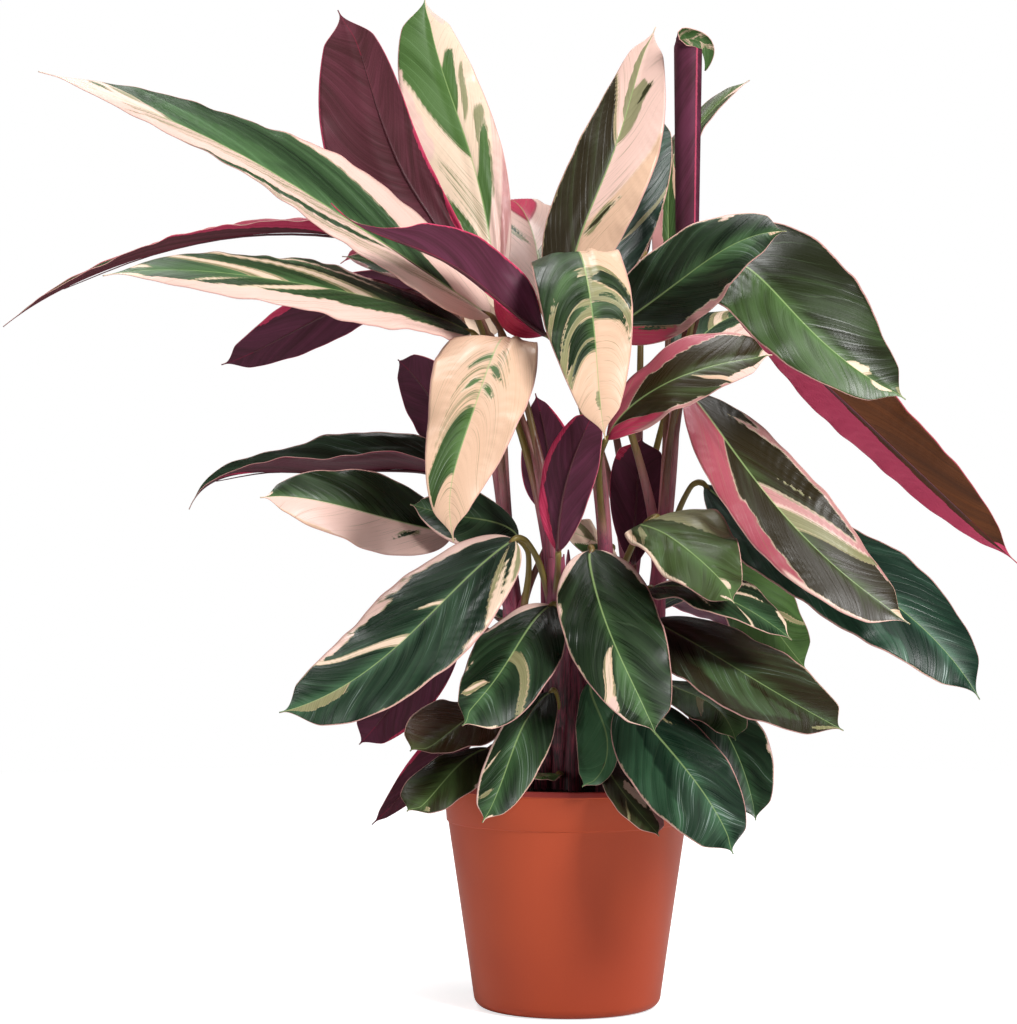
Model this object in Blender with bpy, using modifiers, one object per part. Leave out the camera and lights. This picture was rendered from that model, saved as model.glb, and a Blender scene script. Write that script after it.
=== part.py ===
"""A potted stromanthe: a clump of sheathed stems with striped, purple-backed leaves, in a plastic nursery pot.

Real size, in metres, +Z up. The origin is the centre of the pot's foot, and -Y is the side that is seen first.
"""

from collections import namedtuple
from math import cos, pi, radians, sin

import bmesh
import bpy
import numpy as np
from mathutils import Vector

MM = 0.001
GAP = 0.3 * MM

# Pot
POT_RIM_RADIUS = 97 * MM
POT_FOOT_RADIUS = 72 * MM
POT_HEIGHT = 176 * MM
POT_WALL = 1.8 * MM
POT_FLOOR = 4 * MM
POT_COLLAR_DEPTH = 30 * MM
POT_COLLAR_STEP = 1.2 * MM
POT_COLLAR_FLARE = 2.4 * MM
POT_LIP = 2.2 * MM
POT_FOOT_ROUND = 9 * MM
POT_SIDES = 40
DRAIN_RADIUS = 5 * MM
DRAIN_RING = 46 * MM
DRAIN_COUNT = 6

# Soil
SOIL_EDGE_DROP = 12 * MM
SOIL_MOUND = 15 * MM
STEM_SUNK = 35 * MM

# Leaf blades
BLADE_THICK = 0.8 * MM
BLADE_NECK = 2.0 * MM
BLADE_TIP = 0.7 * MM
BASE_ROUNDING = 0.55
TIP_TAPER = 0.95
TIP_POINT = 0.1
RIB_SAMPLES = 160

# The young leaf, in millimetres and degrees
ROLL_FOOT = (96, 30, 530)
ROLL_HEAD = (97, 30, 752)
ROLL_LENGTH = 222
ROLL_TIP_LENGTH = 52
ROLL_TIP_BEND = 205

# Stems
STALK_TIP_RADIUS = 2.0 * MM
STALK_ROOT_RADIUS = 3.0 * MM
STALK_POINTS = 7
STALK_BEND = 28 * MM

Stem = namedtuple("Stem", "foot top foot_radius top_radius")
# foot is (x, y) on the soil, and top is (x, y, z), all in millimetres.
STEMS = {
    "stem_front_left": Stem((-6, -28), (-10, -48, 352), 10, 7),
    "stem_centre": Stem((24, -14), (30, -18, 330), 10, 7),
    "stem_right": Stem((56, 4), (88, 22, 485), 10, 4),
    "stem_back_right": Stem((38, 44), (52, 62, 320), 9, 6),
    "stem_back_left": Stem((-30, 28), (-44, 42, 330), 10, 7),
    "stem_front_low": Stem((30, -52), (34, -60, 235), 8, 5),
}

Leaf = namedtuple("Leaf", "name stem joins half_width rib faces fold droop wave")
# joins is the height on its stem where the leaf's stalk leaves it. rib runs from the blade's base to its tip.
# faces are the directions that the upper side looks in at the base and at the tip. fold lifts the two halves
# towards the upper side and droop bends their edges back, in degrees. wave is the edge's ripple.
# All lengths are in millimetres.
LEAVES = [
    Leaf("upper_leaf_1", "stem_front_left", 300, 45,
         [(-60, -20, 540), (-125, -60, 594), (-203, -100, 643), (-290, -125, 681), (-393, -140, 712)],
         [(0.2, -0.75, 0.65), (0.1, -0.6, 0.8)], 8, 22, 2),
    Leaf("upper_leaf_2", "stem_front_left", 280, 41,
         [(-76, -12, 528), (-118, -50, 543), (-180, -112, 554), (-255, -158, 562), (-340, -180, 558)],
         [(0, -0.72, 0.7), (0, -0.65, 0.76)], 10, 25, 2),
    Leaf("upper_leaf_3", "stem_centre", 300, 42,
         [(-17, -52, 523), (-65, -86, 554), (-122, -126, 585), (-157, -150, 598), (-176, -158, 613)],
         [(0, 0.95, 0.35), (0, 0.6, 0.8)], 30, 10, 1),
    Leaf("upper_leaf_4", "stem_front_left", 310, 38,
         [(-75, 30, 555), (-113, 25, 605), (-141, 20, 645), (-163, 10, 712), (-180, 0, 781)],
         [(-0.1, 1, -0.2), (-0.1, 1, 0.1)], 8, 18, 2),
    Leaf("upper_leaf_5", "stem_back_left", 320, 35,
         [(-55, 60, 550), (-67, 72, 606), (-82, 88, 668), (-103, 108, 736), (-115, 125, 814)],
         [(0.1, -1, -0.1), (0.1, -1, 0.1)], 8, 18, 2),
    Leaf("upper_leaf_6", "stem_back_right", 290, 36,
         [(-20, 80, 560), (-25, 130, 615), (-40, 190, 650), (-60, 260, 645)],
         [(0, -0.7, 0.7), (0, 0, 1)], 8, 20, 2),
    Leaf("upper_leaf_7", "stem_centre", 320, 34,
         [(5, 20, 545), (10, 22, 602), (31, 28, 649), (52, 38, 704), (72, 50, 776)],
         [(-0.2, -1, 0), (-0.3, -1, 0.1)], 12, 15, 2),
    Leaf("upper_leaf_8", "stem_back_right", 310, 28,
         [(22, 60, 556), (44, 80, 617), (64, 100, 674), (78, 115, 719)],
         [(0.1, -1, 0), (0.1, -1, 0.1)], 8, 15, 2),
    Leaf("upper_leaf_10", "stem_back_right", 315, 15,
         [(66, 118, 600), (92, 160, 675), (122, 176, 722), (158, 180, 752)],
         [(-0.6, -0.6, 0.5), (-0.5, -0.6, 0.6)], 20, 10, 1),
    Leaf("upper_leaf_11", "stem_right", 320, 15,
         [(84, 80, 535), (86, 105, 591), (86, 122, 640), (91, 132, 684)],
         [(-0.4, -0.9, 0.2), (-0.4, -0.9, 0.2)], 10, 15, 1),
    Leaf("upper_leaf_12", "stem_back_left", 325, 14,
         [(-100, 65, 575), (-181, 90, 612), (-258, 105, 615), (-356, 120, 595), (-425, 125, 566),
          (-464, 125, 540)],
         [(0, -0.1, 1), (0, -0.2, 1)], 50, 10, 1),
    Leaf("upper_leaf_13", "stem_back_left", 305, 28,
         [(-75, -5, 545), (-110, -15, 570), (-140, -25, 580), (-175, -30, 585)],
         [(0, -0.5, 0.8), (0, -0.5, 0.8)], 8, 20, 2),
    Leaf("middle_leaf_1", "stem_centre", 325, 39,
         [(6, -20, 550), (8, -55, 586), (18, -115, 531), (23, -145, 475), (25, -155, 440)],
         [(0, -0.4, 1), (0, -1, 0.15)], 6, 16, 3),
    Leaf("middle_leaf_2", "stem_front_left", 330, 42,
         [(-45, -30, 505), (-55, -65, 520), (-65, -120, 470), (-80, -150, 420), (-85, -165, 365)],
         [(0, -0.4, 1), (-0.1, -1, 0.15)], 6, 16, 3),
    Leaf("middle_leaf_3", "stem_right", 320, 36,
         [(32, -20, 527), (66, -50, 550), (95, -75, 571), (125, -100, 589), (161, -120, 596)],
         [(0.2, -0.95, 0.3), (-0.1, -0.85, 0.5)], 6, 18, 2),
    Leaf("middle_leaf_4", "stem_right", 325, 53,
         [(110, -20, 574), (133, -45, 584), (168, -80, 556), (205, -100, 512), (251, -110, 471)],
         [(0.1, -0.85, 0.5), (0.2, -0.85, 0.5)], 5, 18, 2),
    Leaf("middle_leaf_5", "stem_right", 315, 33,
         [(118, 5, 562), (178, 38, 516), (242, 60, 460), (310, 70, 397), (366, 70, 345)],
         [(0.3, 0.7, 0.6), (0.4, 0.7, 0.5)], 18, 10, 2),
    Leaf("middle_leaf_6", "stem_centre", 310, 31,
         [(28, -92, 442), (56, -110, 473), (84, -120, 491), (116, -130, 501), (149, -135, 503)],
         [(-0.2, -0.75, 0.6), (-0.1, -0.75, 0.6)], 8, 18, 2),
    Leaf("middle_leaf_7", "stem_right", 300, 37,
         [(92, -25, 482), (114, -60, 452), (147, -95, 406), (191, -120, 353), (251, -135, 304)],
         [(0, -0.85, 0.5), (0.1, -0.8, 0.55)], 6, 18, 2),
    Leaf("middle_leaf_8", "stem_right", 270, 49,
         [(108, -5, 408), (148, -30, 378), (204, -60, 346), (262, -85, 304), (308, -100, 246)],
         [(0.1, -0.7, 0.7), (0.1, -0.7, 0.7)], 6, 18, 2),
    Leaf("middle_leaf_9", "stem_centre", 265, 38,
         [(68, -48, 383), (83, -82, 374), (96, -112, 356), (120, -150, 320)],
         [(0.1, -0.75, 0.65), (0, -0.9, 0.5)], 4, 18, 4),
    Leaf("middle_leaf_10", "stem_centre", 240, 28,
         [(64, -52, 329), (92, -90, 330), (122, -125, 320), (162, -152, 293)],
         [(0, -0.5, 0.87), (0.1, -0.5, 0.87)], 10, 15, 2),
    Leaf("middle_leaf_11", "stem_back_right", 240, 36,
         [(112, 40, 360), (139, 50, 331), (163, 55, 300), (193, 60, 261)],
         [(0.3, -0.8, 0.5), (0.3, -0.8, 0.5)], 6, 18, 2),
    Leaf("middle_leaf_12", "stem_front_left", 300, 21,
         [(-8, -72, 357), (-6, -82, 389), (0, -90, 417), (9, -96, 442), (19, -100, 464)],
         [(0.3, 1, 0), (0.3, 1, 0)], 8, 15, 1),
    Leaf("middle_leaf_13", "stem_back_left", 270, 23,
         [(-10, 5, 385), (-15, 0, 435), (-25, -5, 480)],
         [(0, 1, 0.1), (0, 1, 0.1)], 8, 15, 1),
    Leaf("middle_leaf_14", "stem_back_right", 250, 22,
         [(54, 40, 345), (56, 42, 395), (60, 38, 446)],
         [(0, 1, 0.1), (0, 1, 0.1)], 8, 15, 1),
    Leaf("middle_leaf_15", "stem_back_left", 250, 20,
         [(35, 15, 360), (20, -5, 365), (-5, -20, 375)],
         [(0, -0.8, 0.5), (0, -0.8, 0.5)], 6, 15, 1),
    Leaf("left_leaf_1", "stem_back_left", 300, 34,
         [(-100, 55, 418), (-187, 65, 420), (-254, 70, 419), (-283, 72, 412), (-304, 68, 389)],
         [(0, -0.4, 0.9), (0, -0.4, 0.9)], 52, 10, 2),
    Leaf("left_leaf_2", "stem_back_left", 270, 36,
         [(-90, 0, 370), (-135, -20, 384), (-175, -38, 394), (-236, -60, 398)],
         [(0, -0.8, 0.5), (0, -0.8, 0.5)], 6, 18, 2),
    Leaf("left_leaf_3", "stem_back_left", 255, 30,
         [(-38, 5, 365), (-70, -12, 378), (-95, -25, 385), (-122, -35, 393)],
         [(0, -0.75, 0.6), (0, -0.8, 0.4)], 8, 15, 1),
    Leaf("left_leaf_4", "stem_back_left", 310, 27,
         [(-92, 65, 440), (-108, 75, 478), (-136, 85, 511)],
         [(0.1, 0.8, 0.5), (0.1, 0.8, 0.5)], 10, 15, 1),
    Leaf("left_leaf_5", "stem_back_left", 320, 27,
         [(-101, 40, 562), (-183, 75, 553), (-224, 90, 533), (-282, 110, 508)],
         [(0, 0.7, 0.7), (0, 0.8, 0.6)], 10, 15, 1),
    Leaf("lower_leaf_1", "stem_front_low", 200, 38,
         [(65, -58, 304), (100, -95, 286), (138, -135, 263), (196, -185, 229)],
         [(0.1, -0.7, 0.7), (0.1, -0.75, 0.65)], 5, 18, 2),
    Leaf("lower_leaf_2", "stem_centre", 250, 38,
         [(18, -58, 358), (23, -84, 338), (31, -118, 304), (45, -145, 266), (61, -170, 225)],
         [(0, -0.5, 0.9), (0.1, -1, 0.25)], 5, 16, 2),
    Leaf("lower_leaf_3", "stem_front_left", 240, 34,
         [(-13, -60, 316), (-30, -85, 299), (-51, -122, 262), (-80, -150, 230)],
         [(-0.1, -0.6, 0.8), (-0.2, -1, 0.3)], 5, 18, 3),
    Leaf("lower_leaf_4", "stem_front_left", 265, 42,
         [(-42, -60, 366), (-82, -90, 333), (-126, -118, 290), (-172, -140, 256), (-214, -155, 240)],
         [(-0.1, -0.8, 0.6), (-0.1, -0.8, 0.55)], 5, 18, 2),
    Leaf("lower_leaf_5", "stem_front_left", 205, 21,
         [(-13, -65, 250), (-27, -95, 230), (-46, -130, 195), (-65, -160, 160)],
         [(-0.1, -0.8, 0.6), (-0.1, -0.9, 0.4)], 5, 18, 2),
    Leaf("lower_leaf_6", "stem_front_left", 180, 22,
         [(-60, -45, 205), (-82, -72, 192), (-104, -94, 178), (-122, -110, 163)],
         [(-0.1, -0.8, 0.6), (-0.2, -0.8, 0.5)], 5, 18, 1),
    Leaf("lower_leaf_7", "stem_front_left", 195, 29,
         [(-58, -35, 236), (-78, -60, 229), (-98, -80, 223), (-120, -97, 207)],
         [(0, -0.7, 0.7), (0, -0.7, 0.7)], 5, 18, 1),
    Leaf("lower_leaf_8", "stem_back_left", 200, 15,
         [(-66, 20, 225), (-91, 22, 205), (-119, 20, 176), (-154, 15, 140)],
         [(0.4, 0.7, 0.5), (0.4, 0.7, 0.5)], 8, 15, 1),
    Leaf("lower_leaf_9", "stem_back_left", 240, 27,
         [(-88, 60, 299), (-119, 80, 260), (-142, 90, 228), (-168, 95, 197)],
         [(0.3, 0.7, 0.6), (0.3, 0.7, 0.6)], 8, 15, 1),
    Leaf("lower_leaf_10", "stem_front_low", 205, 17,
         [(17, -70, 258), (21, -89, 226), (20, -104, 200), (9, -116, 182)],
         [(-0.2, -0.9, 0.4), (-0.1, -1, 0.3)], 5, 18, 2),
    Leaf("lower_leaf_11", "stem_front_low", 190, 35,
         [(44, -88, 245), (64, -124, 217), (89, -162, 185), (115, -204, 142)],
         [(-0.1, -0.8, 0.6), (-0.1, -0.85, 0.5)], 5, 18, 2),
    Leaf("lower_leaf_12", "stem_front_low", 175, 19,
         [(30, -74, 200), (41, -105, 184), (51, -135, 168), (64, -160, 150)],
         [(0.2, -0.6, 0.8), (0.3, -0.7, 0.6)], 5, 18, 1),
    Leaf("lower_leaf_13", "stem_right", 210, 27,
         [(96, -5, 249), (122, -20, 218), (138, -35, 181), (144, -50, 150)],
         [(0.3, -0.8, 0.5), (0.3, -0.8, 0.4)], 5, 18, 2),
    Leaf("lower_leaf_14", "stem_right", 220, 24,
         [(75, -15, 255), (100, -50, 245), (115, -75, 235), (125, -95, 215)],
         [(0.1, -0.6, 0.8), (0.2, -0.7, 0.6)], 5, 18, 1),
    Leaf("lower_leaf_15", "stem_front_left", 172, 9,
         [(-8, -54, 186), (-22, -76, 186), (-32, -92, 186)],
         [(0, -0.3, 1), (0, -0.3, 1)], 5, 18, 1),
    Leaf("back_leaf_1", "stem_back_right", 300, 40,
         [(100, 108, 515), (130, 140, 545), (172, 180, 556), (228, 222, 530)],
         [(-0.2, -0.5, 0.8), (0.2, 0.3, 0.9)], 6, 18, 2),
    Leaf("back_leaf_2", "stem_back_left", 300, 32,
         [(-60, 75, 530), (-95, 120, 580), (-140, 170, 610), (-190, 215, 600)],
         [(0, -0.4, 0.9), (-0.2, 0.4, 0.9)], 6, 18, 2),
    Leaf("back_leaf_3", "stem_back_left", 230, 36,
         [(-50, 60, 300), (-85, 105, 310), (-120, 150, 290), (-155, 190, 252)],
         [(0, 0.2, 1), (-0.3, 0.6, 0.7)], 6, 18, 2),
    Leaf("back_leaf_4", "stem_back_right", 225, 38,
         [(74, 90, 306), (105, 120, 318), (148, 162, 300), (195, 205, 255)],
         [(0, 0.2, 1), (0.4, 0.6, 0.7)], 6, 18, 2),
]

# The young leaf is still rolled up. Its rib here is the line that its stalk joins.
YOUNG_LEAF = Leaf("upper_leaf_9", "stem_right", 430, 40, [(94, 30, 530), (94, 30, 560)], [(1, 0, 0), (1, 0, 0)],
                  0, 1, 0)

# How round a blade's base is and how drawn out its tip, where they aren't BASE_ROUNDING and TIP_TAPER.
OUTLINES = {
    "upper_leaf_1": (0.6, 1.15), "upper_leaf_3": (1.1, 2.5), "upper_leaf_4": (0.6, 0.6), "upper_leaf_5": (0.75, 0.6),
    "upper_leaf_7": (0.6, 0.75), "upper_leaf_8": (0.6, 0.6), "upper_leaf_10": (0.7, 0.7),
    "middle_leaf_1": (0.45, 0.7), "middle_leaf_2": (0.45, 0.6), "middle_leaf_3": (0.55, 0.65),
    "middle_leaf_4": (0.45, 0.7), "middle_leaf_5": (0.9, 0.9), "middle_leaf_6": (0.75, 0.6),
    "middle_leaf_7": (0.75, 0.65), "middle_leaf_8": (0.75, 0.75), "middle_leaf_9": (0.2, 0.6),
    "middle_leaf_10": (0.5, 0.7), "middle_leaf_11": (0.6, 0.5), "middle_leaf_12": (0.7, 0.6),
    "middle_leaf_14": (0.7, 0.4), "left_leaf_1": (0.45, 1.4), "left_leaf_2": (0.6, 0.85), "left_leaf_4": (0.5, 0.6),
    "left_leaf_5": (0.6, 0.7), "lower_leaf_1": (0.5, 0.6), "lower_leaf_2": (0.5, 0.65), "lower_leaf_3": (0.5, 0.6),
    "lower_leaf_4": (0.5, 0.6), "lower_leaf_5": (0.7, 0.65), "lower_leaf_6": (0.6, 0.45), "lower_leaf_7": (0.5, 0.6),
    "lower_leaf_9": (0.6, 0.6), "lower_leaf_10": (0.6, 0.6), "lower_leaf_11": (0.5, 0.6), "lower_leaf_12": (0.6, 0.6),
    "lower_leaf_13": (0.6, 0.6), "lower_leaf_14": (0.6, 0.6),
}


def material(name, colour, roughness):
    """One finish: a plain Principled surface."""
    made = bpy.data.materials.new(name)
    made.use_nodes = True
    shader = made.node_tree.nodes["Principled BSDF"]
    shader.inputs["Base Color"].default_value = (*colour, 1)
    shader.inputs["Roughness"].default_value = roughness
    shader.inputs["Metallic"].default_value = 0
    return made


def unit(vectors):
    """Rows scaled to length one."""
    return vectors / np.linalg.norm(vectors, axis=-1, keepdims=True)


def rib_curve(points, at):
    """Places and directions at the shares `at` of the length of one smooth polynomial through the points."""
    points = np.array(points, float) * MM
    steps = np.linalg.norm(np.diff(points, axis=0), axis=1)
    knots = np.concatenate([[0], np.cumsum(steps)]) / steps.sum()
    curve = np.polyfit(knots, points, len(points) - 1)
    slope = [np.polyder(curve[:, axis]) for axis in range(3)]
    fine = np.linspace(0, 1, RIB_SAMPLES)
    traced = np.stack([np.polyval(curve[:, axis], fine) for axis in range(3)], axis=1)
    lengths = np.concatenate([[0], np.cumsum(np.linalg.norm(np.diff(traced, axis=0), axis=1))])
    knot = np.interp(np.asarray(at) * lengths[-1], lengths, fine)
    places = np.stack([np.polyval(curve[:, axis], knot) for axis in range(3)], axis=1)
    directions = unit(np.stack([np.polyval(slope[axis], knot) for axis in range(3)], axis=1))
    return places, directions, lengths[-1]


def smooth(value):
    """Eases a share from 0 to 1."""
    share = np.clip(value, 0, 1)
    return share * share * (3 - 2 * share)


def outline(leaf, u):
    """Half width of a blade along its rib, as a share of the widest place, with a short point at the tip."""
    base, tip = OUTLINES.get(leaf.name, (BASE_ROUNDING, TIP_TAPER))
    widest = base / (base + tip)
    return (u / widest) ** base * ((1 - u) / (1 - widest)) ** tip * smooth((1 - u) / TIP_POINT)


def blade_surface(leaf, u, s):
    """The blade's middle surface at rib shares u and cross shares s, from -1 at one edge to 1 at the other."""
    places, directions, _ = rib_curve(leaf.rib, u)
    turn = (u * u * (3 - 2 * u))[:, None]
    faces = unit(np.array(leaf.faces, float))
    upward = faces[0] * (1 - turn) + faces[1] * turn
    upward = unit(upward - (upward * directions).sum(axis=1, keepdims=True) * directions)
    across = np.cross(directions, upward)
    least = BLADE_NECK * (1 - u) + BLADE_TIP * u
    width = np.maximum(leaf.half_width * MM * outline(leaf, u), least)[:, None]
    share = np.abs(s)[None, :]
    fold, droop = radians(leaf.fold), radians(leaf.droop)
    sideways = width * (sin(fold) - np.sin(fold - droop * share)) / droop
    lift = width * (np.cos(fold - droop * share) - cos(fold)) / droop
    side = np.sign(s)[None, :]
    ripple = np.sin(2 * pi * (2.5 * u[:, None] + 0.23 * side)) * np.sin(pi * u)[:, None]
    lift = lift + leaf.wave * MM * share**2 * ripple
    return places[:, None] + across[:, None] * (side * sideways)[..., None] + upward[:, None] * lift[..., None]


def stations(length):
    """Rib shares of a blade's cross rows: closer at the round base and the tip, and fewer on a short blade."""
    count = 8 if length < 110 * MM else 10 if length < 220 * MM else 12
    even = np.linspace(0, 1, count)
    return even + 0.045 * np.sin(2 * pi * even) * -1


def leaf_blade(leaf, finish):
    """One open blade."""
    _, _, length = rib_curve(leaf.rib, [0, 1])
    return sheet(leaf.name, blade_surface(leaf, stations(length), np.array([-1, -0.52, 0, 0.52, 1])), finish)


def sheet(name, surface, finish):
    """A grid bent to a surface of points, split alike on both faces and given the blade's thickness."""
    rows, columns = surface.shape[:2]
    grid = bmesh.new()
    bmesh.ops.create_grid(grid, x_segments=rows - 1, y_segments=columns - 1, size=1)
    grid.verts.ensure_lookup_table()
    for vertex in grid.verts:
        row = round((vertex.co.x + 1) / 2 * (rows - 1))
        column = round((vertex.co.y + 1) / 2 * (columns - 1))
        vertex.co = Vector(surface[row, column])
    bmesh.ops.triangulate(grid, faces=grid.faces[:], quad_method="FIXED")
    mesh = bpy.data.meshes.new(name)
    grid.to_mesh(mesh)
    grid.free()
    mesh.shade_smooth()
    blade = add(name, mesh, finish)
    body = blade.modifiers.new("Blade thickness", "SOLIDIFY")
    body.thickness = BLADE_THICK
    body.offset = 0
    return blade


def rolled_surface(u, s):
    """The young leaf that is still rolled up: its right half wraps round the left, and its tip has bent over."""
    straight = ROLL_LENGTH / (ROLL_LENGTH + ROLL_TIP_LENGTH)
    foot, head = np.array(ROLL_FOOT) * MM, np.array(ROLL_HEAD) * MM
    bend = np.clip((u - straight) / (1 - straight), 0, 1) * radians(ROLL_TIP_BEND)
    share = np.clip(u / straight, 0, 1)
    radius = np.interp(u, [0, 0.1, straight], np.array([2.2, 8.5, 12.5]) * MM)
    arc = ROLL_TIP_LENGTH * MM / radians(ROLL_TIP_BEND)
    spine = foot + (head - foot) * share[:, None]
    spine[:, 0] += arc * (1 - np.cos(bend)) - radius * 0.9
    spine[:, 2] += arc * np.sin(bend)
    opening = np.interp(u, [0, straight - 0.06, straight, 0.93, 1], [1, 1, 0.28, 0.2, 0.02])
    angle = opening[:, None] * np.where(s > 0, 232 * s, 150 * s)[None, :] * pi / 180
    reach = radius[:, None] * np.where(s > 0, 1.0, 0.84)[None, :]
    deep, near = reach * (1 - np.cos(angle)), reach * np.sin(angle)
    points = np.repeat(spine[:, None], len(s), axis=1)
    points[..., 0] += deep * np.cos(bend)[:, None]
    points[..., 2] -= deep * np.sin(bend)[:, None]
    points[..., 1] -= near
    return points


def add(name, data, finish=None, collection=None):
    """A new object in the plant's collection, or in another."""
    made = bpy.data.objects.new(name, data)
    (collection or plant).objects.link(made)
    if finish:
        data.materials.append(finish)
    return made


def tube(name, points, radii, sides_step, collection):
    """A round tube with closed ends through the points, as a mesh."""
    curve = bpy.data.curves.new(name, "CURVE")
    curve.dimensions = "3D"
    curve.bevel_depth = 1
    curve.bevel_resolution = sides_step
    curve.use_fill_caps = True
    spline = curve.splines.new("POLY")
    spline.points.add(len(points) - 1)
    for point, place, radius in zip(spline.points, points, radii):
        point.co = (*place, 1)
        point.radius = radius
    guide = add(name, curve, collection=collection)
    graph = bpy.context.evaluated_depsgraph_get()
    mesh = bpy.data.meshes.new_from_object(guide.evaluated_get(graph))
    bpy.data.objects.remove(guide)
    work = bmesh.new()
    work.from_mesh(mesh)
    bmesh.ops.remove_doubles(work, verts=work.verts, dist=0.01 * MM)
    work.to_mesh(mesh)
    work.free()
    return add(name, mesh, collection=collection)


def stem_axis(stem, height):
    """Where a stem's axis is at a height in millimetres: straight down in the soil, leaning above it."""
    share = max(0, (height * MM - SOIL_TOP) / (stem.top[2] * MM - SOIL_TOP))
    foot, top = Vector((*stem.foot, 0)) * MM, Vector((*stem.top[:2], 0)) * MM
    place = foot.lerp(top, share)
    return Vector((place.x, place.y, height * MM))


def stalk_points(leaf, stem):
    """A leaf stalk's line: up out of its stem, then round into the direction of the blade's rib."""
    places, directions, _ = rib_curve(leaf.rib, [0])
    start, heading = Vector(places[0]), Vector(directions[0])
    end = start - heading * GAP
    neck = end - heading * 3 * MM
    root = stem_axis(stem, leaf.joins)
    reach = (end - root).length
    bend = neck - heading * min(0.22 * reach, STALK_BEND)
    rise = root + (stem_axis(stem, leaf.joins + 40) - root).normalized() * 0.45 * reach
    points = []
    for step in range(STALK_POINTS - 1):
        t = step / (STALK_POINTS - 2)
        points.append((1 - t)**3 * root + 3 * (1 - t)**2 * t * rise + 3 * (1 - t) * t * t * bend + t**3 * neck)
    return points + [end]


def stem_with_stalks(name, stem, finish):
    """One stem without its blades: the sheathed cane and every leaf stalk that grows from it, in one body."""
    pieces = bpy.data.collections.new(name + "_pieces")
    bpy.context.scene.collection.children.link(pieces)
    heights = [(SOIL_TOP - STEM_SUNK) / MM, SOIL_TOP / MM, (SOIL_TOP / MM + stem.top[2]) / 2, stem.top[2]]
    radii = [stem.foot_radius * MM, stem.foot_radius * MM, (stem.foot_radius + stem.top_radius) / 2 * MM,
             stem.top_radius * MM]
    cane = tube(name, [stem_axis(stem, height) for height in heights], radii, 3, plant)
    cane.data.materials.append(finish)
    for leaf in LEAVES + [YOUNG_LEAF]:
        if leaf.stem != name:
            continue
        radii = np.linspace(STALK_ROOT_RADIUS, STALK_TIP_RADIUS, STALK_POINTS)
        tube(leaf.name + "_stalk", stalk_points(leaf, stem), radii, 1, pieces)
    union = cane.modifiers.new("Stalks", "BOOLEAN")
    union.operation = "UNION"
    union.operand_type = "COLLECTION"
    union.collection = pieces
    union.solver = "MANIFOLD"
    graph = bpy.context.evaluated_depsgraph_get()
    mesh = bpy.data.meshes.new_from_object(cane.evaluated_get(graph))
    cane.modifiers.clear()
    cane.data = mesh
    mesh.set_sharp_from_angle(angle=radians(50))
    for piece in list(pieces.objects):
        bpy.data.objects.remove(piece)
    bpy.data.collections.remove(pieces)
    return cane


def turned(name, profile, finish, collection=None):
    """A solid turned round the pot's axis from a profile of (radius, height) that runs down its outer side."""
    mesh = bpy.data.meshes.new(name)
    edges = [(k, k + 1) for k in range(len(profile) - 1)]
    mesh.from_pydata([(radius, 0, height) for radius, height in profile], edges, [])
    made = add(name, mesh, finish, collection)
    screw = made.modifiers.new("Turn", "SCREW")
    screw.steps = screw.render_steps = POT_SIDES
    screw.use_merge_vertices = True
    screw.merge_threshold = 0.00001
    screw.use_smooth_shade = True
    return made


def pot_radius(height):
    """The outer wall's radius below the collar."""
    share = height / (POT_HEIGHT - POT_COLLAR_DEPTH)
    return POT_FOOT_RADIUS + (POT_RIM_RADIUS - POT_COLLAR_STEP - POT_COLLAR_FLARE - POT_FOOT_RADIUS) * share


def round_corner(centre, radius, start, end, count):
    """Points on an arc of a profile, with angles in degrees."""
    angles = [radians(start + (end - start) * k / count) for k in range(count + 1)]
    return [(centre[0] + radius * cos(angle), centre[1] + radius * sin(angle)) for angle in angles]


def pot(finish):
    """The nursery pot: a thin tapering wall with a collar and a rounded lip, on a foot with drainage holes."""
    collar = POT_HEIGHT - POT_COLLAR_DEPTH
    foot = round_corner((POT_FOOT_RADIUS - POT_FOOT_ROUND * 0.85, POT_FOOT_ROUND), POT_FOOT_ROUND, -8, -90, 3)
    profile = [
        (0, POT_FLOOR),
        (pot_radius(POT_FLOOR) - POT_WALL - 2 * MM, POT_FLOOR),
        (pot_radius(collar) - POT_WALL, collar),
        (POT_RIM_RADIUS - POT_LIP, POT_HEIGHT - POT_LIP / 2),
        (POT_RIM_RADIUS - POT_LIP / 2, POT_HEIGHT),
        (POT_RIM_RADIUS, POT_HEIGHT - POT_LIP / 2),
        (pot_radius(collar) + POT_COLLAR_STEP, collar),
        (pot_radius(collar), collar - POT_COLLAR_STEP),
        *foot,
        (0, 0),
    ]
    body = turned("pot", profile, finish)
    for k in range(DRAIN_COUNT):
        angle = 2 * pi * (k + 0.28) / DRAIN_COUNT
        bpy.ops.mesh.primitive_cylinder_add(
            vertices=10, radius=DRAIN_RADIUS, depth=6 * POT_FLOOR,
            location=(DRAIN_RING * cos(angle), DRAIN_RING * sin(angle), POT_FLOOR))
        hole = set_cutter(bpy.context.object, f"drain_{k + 1}")
        cut(body, hole)
    return body


def set_cutter(obj, name):
    """Makes an object a helper that only cuts."""
    obj.name = name
    for collection in list(obj.users_collection):
        collection.objects.unlink(obj)
    cutters.objects.link(obj)
    obj.hide_render = True
    obj.display_type = "WIRE"
    return obj


def cut(body, cutter):
    """Takes a cutter's shape out of a body."""
    modifier = body.modifiers.new(cutter.name, "BOOLEAN")
    modifier.operation = "DIFFERENCE"
    modifier.object = cutter
    modifier.solver = "EXACT"


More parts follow.
